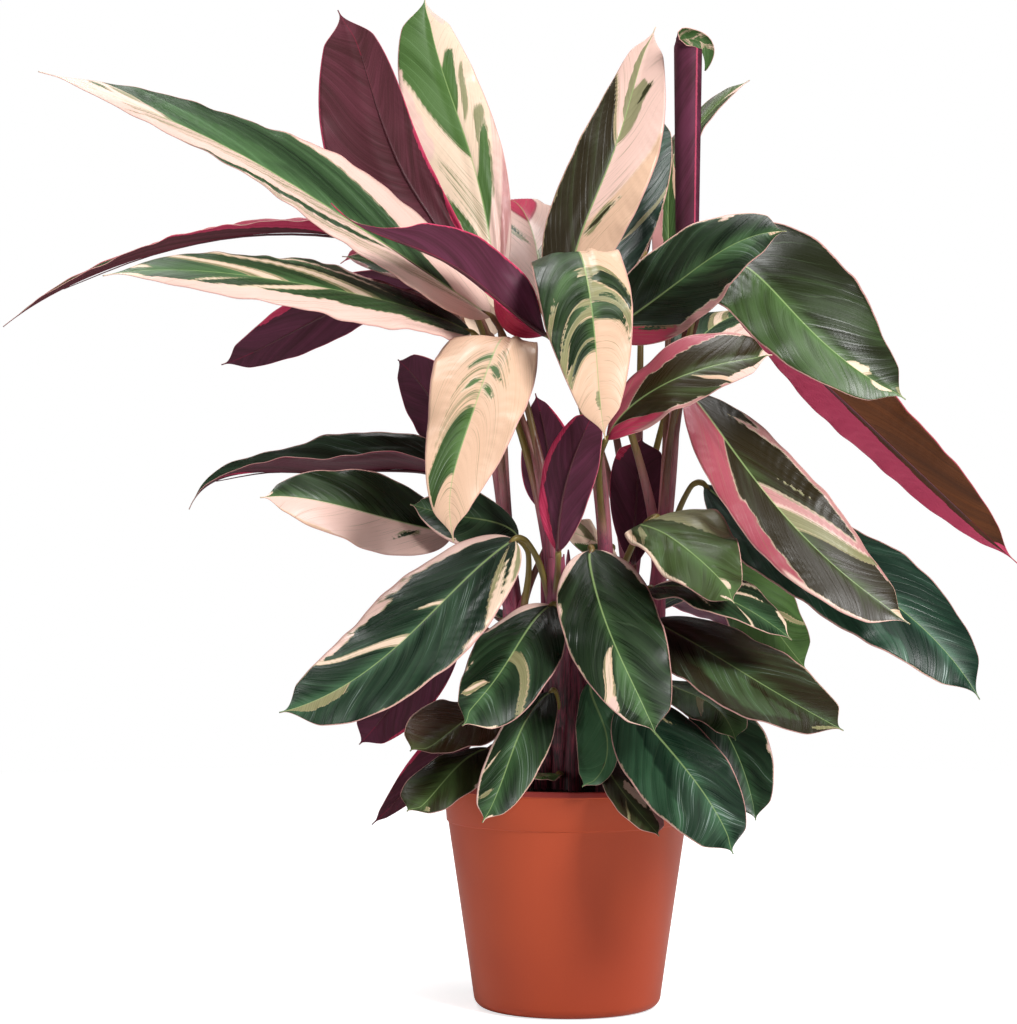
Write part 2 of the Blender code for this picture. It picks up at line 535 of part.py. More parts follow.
def soil(finish):
    """The potting mix: it fills the pot, stands mounded round the stems and has a plain hole for each stem."""
    floor = POT_FLOOR + GAP
    edge = POT_HEIGHT - SOIL_EDGE_DROP
    foot = pot_radius(POT_FLOOR) - POT_WALL - 2 * MM - GAP * 1.5
    brim = pot_radius(edge - POT_COLLAR_STEP) - POT_WALL - GAP * 1.5
    profile = [
        (0, SOIL_TOP),
        (brim * 0.45, SOIL_TOP - 1.5 * MM),
        (brim * 0.75, edge + 0.4 * SOIL_MOUND),
        (brim * 0.97, edge),
        (pot_radius(POT_HEIGHT - POT_COLLAR_DEPTH) - POT_WALL - GAP * 1.5, POT_HEIGHT - POT_COLLAR_DEPTH),
        (foot, floor),
        (0, floor),
    ]
    body = turned("soil", profile, finish)
    for name, stem in STEMS.items():
        depth = STEM_SUNK + 2 * GAP
        bpy.ops.mesh.primitive_cylinder_add(
            vertices=10, radius=stem.foot_radius * MM + 2 * GAP, depth=2 * depth,
            location=(stem.foot[0] * MM, stem.foot[1] * MM, SOIL_TOP))
        hole = set_cutter(bpy.context.object, name + "_hole")
        cut(body, hole)
    return body


def main():
    pot(material("terracotta_plastic", (0.52, 0.13, 0.07), 0.42))
    soil(material("potting_mix", (0.03, 0.018, 0.012), 0.95))
    stem_finish = material("stem", (0.25, 0.09, 0.08), 0.45)
    for name, stem in STEMS.items():
        stem_with_stalks(name, stem, stem_finish)
    leaf_finish = material("leaf", (0.06, 0.2, 0.08), 0.38)
    for leaf in LEAVES:
        leaf_blade(leaf, leaf_finish)
    rows = np.concatenate([np.linspace(0, 0.1, 3), np.linspace(0.3, 0.74, 3), np.linspace(0.79, 1, 7)])
    sheet(YOUNG_LEAF.name, rolled_surface(rows, np.linspace(-1, 1, 15)), leaf_finish)


for old in list(bpy.data.objects):
    bpy.data.objects.remove(old)
plant = bpy.data.collections.new("potted_stromanthe")
cutters = bpy.data.collections.new("cutters")
bpy.context.scene.collection.children.link(plant)
bpy.context.scene.collection.children.link(cutters)
SOIL_TOP = POT_HEIGHT - SOIL_EDGE_DROP + SOIL_MOUND
main()
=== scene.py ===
"""A potted stromanthe with striped cream, pink and green leaves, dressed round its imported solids."""

from collections import namedtuple
from math import cos, pi, radians, sin

import bmesh
import bpy
import numpy as np
from mathutils import Matrix, Vector


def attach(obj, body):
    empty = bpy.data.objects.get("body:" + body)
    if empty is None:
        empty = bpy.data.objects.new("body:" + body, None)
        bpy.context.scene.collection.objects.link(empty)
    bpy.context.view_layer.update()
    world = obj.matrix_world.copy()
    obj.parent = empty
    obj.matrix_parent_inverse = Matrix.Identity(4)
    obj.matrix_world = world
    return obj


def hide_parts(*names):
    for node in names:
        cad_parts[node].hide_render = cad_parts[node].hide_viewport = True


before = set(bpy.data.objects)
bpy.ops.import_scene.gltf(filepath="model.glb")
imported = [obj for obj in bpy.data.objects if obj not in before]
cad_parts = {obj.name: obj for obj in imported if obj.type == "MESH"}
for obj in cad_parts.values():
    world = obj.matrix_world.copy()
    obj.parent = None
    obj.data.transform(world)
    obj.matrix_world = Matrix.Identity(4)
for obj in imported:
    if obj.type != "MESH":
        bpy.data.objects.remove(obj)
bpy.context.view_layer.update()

MM = 0.001

# Pot
POT_RIM_RADIUS = 97 * MM
POT_FOOT_RADIUS = 72 * MM
POT_HEIGHT = 176 * MM
POT_WALL = 1.8 * MM
POT_FLOOR = 4 * MM
POT_COLLAR_DEPTH = 30 * MM
POT_COLLAR_STEP = 1.2 * MM
POT_COLLAR_FLARE = 2.4 * MM
POT_LIP = 2.2 * MM
POT_FOOT_ROUND = 9 * MM
POT_SIDES = 144
DRAIN_RADIUS = 5 * MM
DRAIN_RING = 46 * MM
DRAIN_COUNT = 6

# Soil
SOIL_EDGE_DROP = 12 * MM
SOIL_MOUND = 15 * MM
SOIL_TOP = POT_HEIGHT - SOIL_EDGE_DROP + SOIL_MOUND
CRUMB_DENSITY = 62000
CRUMB_SMALLEST = 0.7 * MM
CRUMB_LARGEST = 2.6 * MM
CRUMB_SEED = 4

# Leaf blades
BLADE_THICK = 0.55 * MM
BLADE_NECK = 2.0 * MM
BLADE_TIP = 0.45 * MM
BASE_ROUNDING = 0.55
TIP_TAPER = 0.95
TIP_POINT = 0.1
RIB_SAMPLES = 200
RIB_GROOVE = 0.5 * MM
RIB_GROOVE_WIDTH = 1.6 * MM
VEIN_PATH = (0.38, 1.25)
STROKE_EDGE = 0.03
PLEAT_HEIGHT = 0.3 * MM
PLEAT_SPACING = 10 * MM
EDGE_WAVE = 0.8 * MM
EDGE_WAVE_LENGTH = 41 * MM
PUCKER = 0.8 * MM
BLADE_STEP = 2 * MM
BLADE_ROWS = (30, 120)
BLADE_COLUMNS = 37
BLADE_SEED = 7

# The young leaf, in millimetres and degrees. ROLL_TIP_TURNS has how far its tip has turned over, at shares of
# the tip's length. ROLL_GRID is how many points lie along it and across it.
ROLL_FOOT = (96, 30, 530)
ROLL_HEAD = (97, 30, 756)
ROLL_LENGTH = 226
ROLL_TIP_LENGTH = 52
ROLL_TIP_TURNS = ((0, 0), (0.22, 80), (0.5, 110), (0.75, 175), (1, 200))
ROLL_TIP_TWIST = -72
ROLL_WIDTH = 36
ROLL_OUTER_TURN = 112
ROLL_INNER_TURN = 235
ROLL_GRID = (110, 49)

# Stalks and ribs, in millimetres
STALK_BEND = 28
STALK_SIDES = 12
STEM_SEED = 12
# Each step of a stalk: the share of its length, its radius and how much of it is sheath.
STALK_STEPS = ((0.04, 5.6, 1), (0.14, 4.9, 1), (0.26, 4.0, 0.8), (0.42, 3.0, 0.3), (0.6, 2.5, 0),
               (0.78, 2.2, 0), (0.88, 2.4, 0), (0.95, 2.5, 0), (1, 2.1, 0))
# Each step of the raised rib under a blade: the share of the blade's length and the rib's radius.
RIB_STEPS = ((0.03, 1.7), (0.1, 1.35), (0.25, 1.1), (0.45, 0.85), (0.65, 0.6), (0.85, 0.35))

# Sheaths and canes, in millimetres
SHEATH_LENGTH = 150
SHEATHS_PER_STEM = 5
# Each step of a leaf's sheath: how far down it is as a share of SHEATH_LENGTH, then its radius and how far
# out it lies, as shares of the stem's radius.
SHEATH_STEPS = ((1, 0.55, 0.1), (0.6, 0.8, 0.3), (0.2, 0.85, 0.45))
# Each step of an old sheath: the share of its height, then how far out it lies and its radius, as shares of
# the stem's radius.
OLD_SHEATH_STEPS = ((0, 0.5, 0.75), (0.35, 0.55, 0.7), (0.7, 0.62, 0.55), (0.9, 0.85, 0.32), (1, 1.05, 0.08))
CLUMP_MIDDLE = (8, -2)
CLUMP_REACH = (44, 40)
CLUMP_CANES = 22
# Each step of a cane: the share of its height and of its radius.
CANE_STEPS = ((0, 1), (0.35, 0.95), (0.7, 0.7), (0.92, 0.35), (1, 0.08))

# Studio
FLOOR_RADIUS = 2.2
FLOOR_DROP = 0.4 * MM
FLOOR_GLOW = 0.7
SKY_LIGHT = 0.12
# Each light's name, place, size and power
LIGHTS = [
    ("key_light", (1.3, -1.7, 1.9), 0.9, 84),
    ("fill_light", (-2.0, -1.6, 0.9), 1.0, 9),
    ("top_light", (-0.4, 0.3, 2.2), 0.9, 28),
]
LIGHTS_AIM = (0, 0, 0.4)
CAMERA_LENS = 104.35
CAMERA_SENSOR = 36
CAMERA_PLACE = (-0.046, -2.330, 0.387)

# Stems and leaves

Stem = namedtuple("Stem", "foot top foot_radius top_radius")
# foot is (x, y) on the soil, and top is (x, y, z), all in millimetres.
STEMS = {
    "stem_front_left": Stem((-6, -28), (-10, -48, 352), 10, 7),
    "stem_centre": Stem((24, -14), (30, -18, 330), 10, 7),
    "stem_right": Stem((56, 4), (88, 22, 485), 10, 4),
    "stem_back_right": Stem((38, 44), (52, 62, 320), 9, 6),
    "stem_back_left": Stem((-30, 28), (-44, 42, 330), 10, 7),
    "stem_front_low": Stem((30, -52), (34, -60, 235), 8, 5),
}

Leaf = namedtuple("Leaf", "name stem joins half_width rib faces fold droop wave")
# joins is the height on its stem where the leaf's stalk leaves it. rib runs from the blade's base to its
# tip. faces are the directions that the upper side looks in at the base and at the tip. fold lifts the two
# halves towards the upper side and droop bends their edges back, in degrees. wave is the edge's ripple.
# All lengths are in millimetres.
LEAVES = [
    Leaf("upper_leaf_1", "stem_front_left", 300, 45,
         [(-60, -20, 540), (-125, -60, 594), (-203, -100, 643), (-290, -125, 681), (-393, -140, 712)],
         [(0.2, -0.75, 0.65), (0.1, -0.6, 0.8)], 8, 22, 2),
    Leaf("upper_leaf_2", "stem_front_left", 280, 41,
         [(-76, -12, 528), (-118, -50, 543), (-180, -112, 554), (-255, -158, 562), (-340, -180, 558)],
         [(0, -0.72, 0.7), (0, -0.65, 0.76)], 10, 25, 2),
    Leaf("upper_leaf_3", "stem_centre", 300, 42,
         [(-17, -52, 523), (-65, -86, 554), (-122, -126, 585), (-157, -150, 598), (-176, -158, 613)],
         [(0, 0.95, 0.35), (0, 0.6, 0.8)], 30, 10, 1),
    Leaf("upper_leaf_4", "stem_front_left", 310, 38,
         [(-75, 30, 555), (-113, 25, 605), (-141, 20, 645), (-163, 10, 712), (-180, 0, 781)],
         [(-0.1, 1, -0.2), (-0.1, 1, 0.1)], 8, 18, 2),
    Leaf("upper_leaf_5", "stem_back_left", 320, 35,
         [(-55, 60, 550), (-67, 72, 606), (-82, 88, 668), (-103, 108, 736), (-115, 125, 814)],
         [(0.1, -1, -0.1), (0.1, -1, 0.1)], 8, 18, 2),
    Leaf("upper_leaf_6", "stem_back_right", 290, 36,
         [(-20, 80, 560), (-25, 130, 615), (-40, 190, 650), (-60, 260, 645)],
         [(0, -0.7, 0.7), (0, 0, 1)], 8, 20, 2),
    Leaf("upper_leaf_7", "stem_centre", 320, 34,
         [(5, 20, 545), (10, 22, 602), (31, 28, 649), (52, 38, 704), (72, 50, 776)],
         [(-0.2, -1, 0), (-0.3, -1, 0.1)], 12, 15, 2),
    Leaf("upper_leaf_8", "stem_back_right", 310, 28,
         [(22, 60, 556), (44, 80, 617), (64, 100, 674), (78, 115, 719)],
         [(0.1, -1, 0), (0.1, -1, 0.1)], 8, 15, 2),
    Leaf("upper_leaf_10", "stem_back_right", 315, 15,
         [(66, 118, 600), (92, 160, 675), (122, 176, 722), (158, 180, 752)],
         [(-0.6, -0.6, 0.5), (-0.5, -0.6, 0.6)], 20, 10, 1),
    Leaf("upper_leaf_11", "stem_right", 320, 15,
         [(84, 80, 535), (86, 105, 591), (86, 122, 640), (91, 132, 684)],
         [(-0.4, -0.9, 0.2), (-0.4, -0.9, 0.2)], 10, 15, 1),
    Leaf("upper_leaf_12", "stem_back_left", 325, 14,
         [(-100, 65, 575), (-181, 90, 612), (-258, 105, 615), (-356, 120, 595), (-425, 125, 566),
          (-464, 125, 540)],
         [(0, -0.1, 1), (0, -0.2, 1)], 50, 10, 1),
    Leaf("upper_leaf_13", "stem_back_left", 305, 28,
         [(-75, -5, 545), (-110, -15, 570), (-140, -25, 580), (-175, -30, 585)],
         [(0, -0.5, 0.8), (0, -0.5, 0.8)], 8, 20, 2),
    Leaf("middle_leaf_1", "stem_centre", 325, 36,
         [(6, -20, 550), (4, -55, 586), (14, -115, 531), (20, -145, 475), (25, -155, 440)],
         [(0, -0.4, 1), (0, -1, 0.15)], 6, 16, 4),
    Leaf("middle_leaf_2", "stem_front_left", 330, 39,
         [(-45, -30, 505), (-58, -65, 520), (-69, -120, 470), (-83, -150, 420), (-86, -165, 365)],
         [(0, -0.4, 1), (-0.1, -1, 0.15)], 6, 16, 4),
    Leaf("middle_leaf_3", "stem_right", 320, 36,
         [(32, -20, 527), (66, -50, 550), (95, -75, 571), (125, -100, 589), (161, -120, 596)],
         [(0.2, -0.95, 0.3), (-0.1, -0.85, 0.5)], 6, 18, 2),
    Leaf("middle_leaf_4", "stem_right", 325, 53,
         [(110, -20, 574), (133, -45, 584), (168, -80, 556), (205, -100, 512), (251, -110, 471)],
         [(0.1, -0.85, 0.5), (0.2, -0.85, 0.5)], 5, 18, 2),
    Leaf("middle_leaf_5", "stem_right", 315, 33,
         [(118, 5, 562), (178, 38, 516), (242, 60, 460), (310, 70, 397), (366, 70, 345)],
         [(0.3, 0.7, 0.6), (0.4, 0.7, 0.5)], 18, 10, 2),
    Leaf("middle_leaf_6", "stem_centre", 310, 31,
         [(28, -92, 442), (56, -110, 473), (84, -120, 491), (116, -130, 501), (149, -135, 503)],
         [(-0.2, -0.75, 0.6), (-0.1, -0.75, 0.6)], 8, 18, 2),
    Leaf("middle_leaf_7", "stem_right", 300, 37,
         [(92, -25, 482), (114, -60, 452), (147, -95, 406), (191, -120, 353), (251, -135, 304)],
         [(0, -0.85, 0.5), (0.1, -0.8, 0.55)], 6, 18, 2),
    Leaf("middle_leaf_8", "stem_right", 270, 49,
         [(108, -5, 408), (148, -30, 378), (204, -60, 346), (262, -85, 304), (308, -100, 246)],
         [(0.1, -0.7, 0.7), (0.1, -0.7, 0.7)], 6, 18, 2),
    Leaf("middle_leaf_9", "stem_centre", 265, 38,
         [(68, -48, 383), (83, -82, 374), (96, -112, 356), (120, -150, 320)],
         [(0.1, -0.75, 0.65), (0, -0.9, 0.5)], 4, 18, 4),
    Leaf("middle_leaf_10", "stem_centre", 240, 28,
         [(64, -52, 329), (92, -90, 330), (122, -125, 320), (162, -152, 293)],
         [(0, -0.5, 0.87), (0.1, -0.5, 0.87)], 10, 15, 2),
    Leaf("middle_leaf_11", "stem_back_right", 240, 36,
         [(112, 40, 360), (139, 50, 331), (163, 55, 300), (193, 60, 261)],
         [(0.3, -0.8, 0.5), (0.3, -0.8, 0.5)], 6, 18, 2),
    Leaf("middle_leaf_12", "stem_front_left", 300, 21,
         [(-8, -72, 357), (-6, -82, 389), (0, -90, 417), (9, -96, 442), (19, -100, 464)],
         [(0.3, 1, 0), (0.3, 1, 0)], 8, 15, 1),
    Leaf("middle_leaf_13", "stem_back_left", 270, 23,
         [(-10, 5, 385), (-15, 0, 435), (-25, -5, 480)],
         [(0, 1, 0.1), (0, 1, 0.1)], 8, 15, 1),
    Leaf("middle_leaf_14", "stem_back_right", 250, 22,
         [(54, 40, 345), (56, 42, 395), (60, 38, 446)],
         [(0, 1, 0.1), (0, 1, 0.1)], 8, 15, 1),
    Leaf("middle_leaf_15", "stem_back_left", 250, 20,
         [(35, 15, 360), (20, -5, 365), (-5, -20, 375)],
         [(0, -0.8, 0.5), (0, -0.8, 0.5)], 6, 15, 1),
    Leaf("left_leaf_1", "stem_back_left", 300, 34,
         [(-100, 55, 418), (-187, 65, 420), (-254, 70, 419), (-283, 72, 412), (-304, 68, 389)],
         [(0, -0.4, 0.9), (0, -0.4, 0.9)], 52, 10, 2),
    Leaf("left_leaf_2", "stem_back_left", 270, 36,
         [(-90, 0, 370), (-135, -20, 384), (-175, -38, 394), (-236, -60, 398)],
         [(0, -0.8, 0.5), (0, -0.8, 0.5)], 6, 18, 2),
    Leaf("left_leaf_3", "stem_back_left", 255, 30,
         [(-38, 5, 365), (-70, -12, 378), (-95, -25, 385), (-122, -35, 393)],
         [(0, -0.75, 0.6), (0, -0.8, 0.4)], 8, 15, 1),
    Leaf("left_leaf_4", "stem_back_left", 310, 27,
         [(-92, 65, 440), (-108, 75, 478), (-136, 85, 511)],
         [(0.1, 0.8, 0.5), (0.1, 0.8, 0.5)], 10, 15, 1),
    Leaf("left_leaf_5", "stem_back_left", 320, 27,
         [(-101, 40, 562), (-183, 75, 553), (-224, 90, 533), (-282, 110, 508)],
         [(0, 0.7, 0.7), (0, 0.8, 0.6)], 10, 15, 1),
    Leaf("lower_leaf_1", "stem_front_low", 200, 38,
         [(65, -58, 304), (100, -95, 286), (138, -135, 263), (196, -185, 229)],
         [(0.1, -0.7, 0.7), (0.1, -0.75, 0.65)], 5, 18, 2),
    Leaf("lower_leaf_2", "stem_centre", 250, 38,
         [(18, -58, 358), (23, -84, 338), (31, -118, 304), (45, -145, 266), (61, -170, 225)],
         [(0, -0.5, 0.9), (0.1, -1, 0.25)], 5, 16, 2),
    Leaf("lower_leaf_3", "stem_front_left", 240, 34,
         [(-13, -60, 316), (-30, -85, 299), (-51, -122, 262), (-80, -150, 230)],
         [(-0.1, -0.6, 0.8), (-0.2, -1, 0.3)], 5, 18, 3),
    Leaf("lower_leaf_4", "stem_front_left", 265, 42,
         [(-42, -60, 366), (-82, -90, 333), (-126, -118, 290), (-172, -140, 256), (-214, -155, 240)],
         [(-0.1, -0.8, 0.6), (-0.1, -0.8, 0.55)], 5, 18, 2),
    Leaf("lower_leaf_5", "stem_front_left", 205, 21,
         [(-13, -65, 250), (-27, -95, 230), (-46, -130, 195), (-65, -160, 160)],
         [(-0.1, -0.8, 0.6), (-0.1, -0.9, 0.4)], 5, 18, 2),
    Leaf("lower_leaf_6", "stem_front_left", 180, 22,
         [(-60, -45, 205), (-82, -72, 192), (-104, -94, 178), (-122, -110, 163)],
         [(-0.1, -0.8, 0.6), (-0.2, -0.8, 0.5)], 5, 18, 1),
    Leaf("lower_leaf_7", "stem_front_left", 195, 29,
         [(-58, -35, 236), (-78, -60, 229), (-98, -80, 223), (-120, -97, 207)],
         [(0, -0.7, 0.7), (0, -0.7, 0.7)], 5, 18, 1),
    Leaf("lower_leaf_8", "stem_back_left", 200, 15,
         [(-66, 20, 225), (-91, 22, 205), (-119, 20, 176), (-154, 15, 140)],
         [(0.4, 0.7, 0.5), (0.4, 0.7, 0.5)], 8, 15, 1),
    Leaf("lower_leaf_9", "stem_back_left", 240, 27,
         [(-88, 60, 299), (-119, 80, 260), (-142, 90, 228), (-168, 95, 197)],
         [(0.3, 0.7, 0.6), (0.3, 0.7, 0.6)], 8, 15, 1),
    Leaf("lower_leaf_10", "stem_front_low", 205, 17,
         [(17, -70, 258), (21, -89, 226), (20, -104, 200), (9, -116, 182)],
         [(-0.2, -0.9, 0.4), (-0.1, -1, 0.3)], 5, 18, 2),
    Leaf("lower_leaf_11", "stem_front_low", 190, 35,
         [(44, -88, 245), (64, -124, 217), (89, -162, 185), (115, -204, 142)],
         [(-0.1, -0.8, 0.6), (-0.1, -0.85, 0.5)], 5, 18, 2),
    Leaf("lower_leaf_12", "stem_front_low", 175, 19,
         [(30, -74, 200), (41, -105, 184), (51, -135, 168), (64, -160, 150)],
         [(0.2, -0.6, 0.8), (0.3, -0.7, 0.6)], 5, 18, 1),
    Leaf("lower_leaf_13", "stem_right", 210, 27,
         [(96, -5, 249), (122, -20, 218), (138, -35, 181), (144, -50, 150)],
         [(0.3, -0.8, 0.5), (0.3, -0.8, 0.4)], 5, 18, 2),
    Leaf("lower_leaf_14", "stem_right", 220, 24,
         [(75, -15, 255), (100, -50, 245), (115, -75, 235), (125, -95, 215)],
         [(0.1, -0.6, 0.8), (0.2, -0.7, 0.6)], 5, 18, 1),
    Leaf("lower_leaf_15", "stem_front_left", 172, 9,
         [(-8, -54, 186), (-22, -76, 186), (-32, -92, 186)],
         [(0, -0.3, 1), (0, -0.3, 1)], 5, 18, 1),
    Leaf("back_leaf_1", "stem_back_right", 300, 40,
         [(100, 108, 515), (130, 140, 545), (172, 180, 556), (228, 222, 530)],
         [(-0.2, -0.5, 0.8), (0.2, 0.3, 0.9)], 6, 18, 2),
    Leaf("back_leaf_2", "stem_back_left", 300, 32,
         [(-60, 75, 530), (-95, 120, 580), (-140, 170, 610), (-190, 215, 600)],
         [(0, -0.4, 0.9), (-0.2, 0.4, 0.9)], 6, 18, 2),
    Leaf("back_leaf_3", "stem_back_left", 230, 36,
         [(-50, 60, 300), (-85, 105, 310), (-120, 150, 290), (-155, 190, 252)],
         [(0, 0.2, 1), (-0.3, 0.6, 0.7)], 6, 18, 2),
    Leaf("back_leaf_4", "stem_back_right", 225, 38,
         [(74, 90, 306), (105, 120, 318), (148, 162, 300), (195, 205, 255)],
         [(0, 0.2, 1), (0.4, 0.6, 0.7)], 6, 18, 2),
]
# The young leaf is still rolled up. Its rib here is the line that its stalk joins.
YOUNG_LEAF = Leaf("upper_leaf_9", "stem_right", 430, 40,
                  [(94, 30, 530), (94, 30, 560)],
                  [(1, 0, 0), (1, 0, 0)], 0, 1, 0)

# How round a blade's base is and how drawn out its tip, where they aren't BASE_ROUNDING and TIP_TAPER.
OUTLINES = {
    "upper_leaf_1": (0.6, 1.15), "upper_leaf_3": (1.1, 2.5), "upper_leaf_4": (0.6, 0.6),
    "upper_leaf_5": (0.75, 0.6), "upper_leaf_7": (0.6, 0.75), "upper_leaf_8": (0.6, 0.6),
    "upper_leaf_10": (0.7, 0.7), "middle_leaf_1": (0.45, 0.7), "middle_leaf_2": (0.45, 0.8),
    "middle_leaf_3": (0.55, 0.65), "middle_leaf_4": (0.45, 0.7), "middle_leaf_5": (0.9, 0.9),
    "middle_leaf_6": (0.75, 0.6), "middle_leaf_7": (0.75, 0.65), "middle_leaf_8": (0.75, 0.75),
    "middle_leaf_9": (0.2, 0.6), "middle_leaf_10": (0.5, 0.7), "middle_leaf_11": (0.6, 0.5),
    "middle_leaf_12": (0.7, 0.6), "middle_leaf_14": (0.7, 0.4), "left_leaf_1": (0.45, 1.4),
    "left_leaf_2": (0.6, 0.85), "left_leaf_4": (0.5, 0.6), "left_leaf_5": (0.6, 0.7),
    "lower_leaf_1": (0.5, 0.6), "lower_leaf_2": (0.5, 0.65), "lower_leaf_3": (0.5, 0.6),
    "lower_leaf_4": (0.5, 0.6), "lower_leaf_5": (0.7, 0.65), "lower_leaf_6": (0.6, 0.45),
    "lower_leaf_7": (0.5, 0.6), "lower_leaf_9": (0.6, 0.6), "lower_leaf_10": (0.6, 0.6),
    "lower_leaf_11": (0.5, 0.6), "lower_leaf_12": (0.6, 0.6), "lower_leaf_13": (0.6, 0.6),
    "lower_leaf_14": (0.6, 0.6),
}

# How far the side veins lean towards the tip, as a share of the rib's length, and how sharply they curve,
# where it isn't VEIN_PATH. LEFT_VEIN_PATHS has the left half of a blade whose halves differ.
VEIN_PATHS = {
    "upper_leaf_1": (0.44, 1.25), "upper_leaf_2": (0.42, 1.25), "upper_leaf_4": (0.3, 1.4),
    "upper_leaf_9": (0.12, 1.25), "middle_leaf_1": (0.26, 2), "middle_leaf_2": (0.5, 2),
    "middle_leaf_4": (0.32, 1.25), "middle_leaf_8": (0.3, 1.25), "lower_leaf_3": (0.38, 1.8),
    "lower_leaf_15": (0.2, 1.25),
}
LEFT_VEIN_PATHS = {"middle_leaf_1": (0.16, 4)}

# Where the rib lies between the edges at a blade's base, along its middle and at its tip, where it isn't
# halfway: -1 is the left edge and 1 the right.
RIB_SHIFTS = {
    "upper_leaf_1": (-0.2, -0.8, -0.2), "upper_leaf_3": (-0.1, -0.1, 0),
    "upper_leaf_4": (-0.4, -0.5, -0.2), "upper_leaf_5": (0.3, 0.2, 0.2),
    "upper_leaf_7": (0.1, -0.15, -0.2), "middle_leaf_1": (-0.1, -0.16, 0),
    "middle_leaf_2": (-0.5, 0.27, 0.03), "middle_leaf_4": (0.1, 0.38, 0.15),
    "middle_leaf_6": (-0.35, 0.25, 0.2), "middle_leaf_7": (-0.05, 0.25, -0.15),
    "middle_leaf_9": (0.6, 0.2, -0.3), "left_leaf_2": (-0.05, -0.25, 0.1), "left_leaf_3": (0.4, 0, 0),
    "lower_leaf_1": (0.05, 0.05, 0), "lower_leaf_2": (0.25, 0.05, 0.05),
    "lower_leaf_3": (0.05, -0.05, 0.4), "lower_leaf_5": (0.5, 0.2, -0.1),
    "lower_leaf_6": (0.5, 0.1, -0.5), "lower_leaf_7": (0.3, -0.1, -0.7),
    "lower_leaf_10": (0.3, -0.7, -0.4), "lower_leaf_11": (-0.05, -0.15, -0.15),
    "lower_leaf_12": (0.6, 0.3, 0),
}

# How much further the left and the right half of a blade fold up, in degrees.
EXTRA_FOLDS = {"upper_leaf_3": (36, 75), "lower_leaf_13": (50, 0)}

# How brown a blade is, where it isn't green above and purple below.
WARMTH = {
    "middle_leaf_5": 1, "upper_leaf_12": 0.3, "upper_leaf_4": 0.25, "lower_leaf_8": 0.1,
    "left_leaf_1": 0.2, "lower_leaf_1": 0.35, "lower_leaf_6": 0.25, "lower_leaf_7": 0.9,
    "lower_leaf_12": 0.5, "middle_leaf_6": 0.4, "middle_leaf_7": 0.35, "upper_leaf_7": 0.35,
    "upper_leaf_10": 0.4, "middle_leaf_4": 0.1, "middle_leaf_9": 0.3,
}

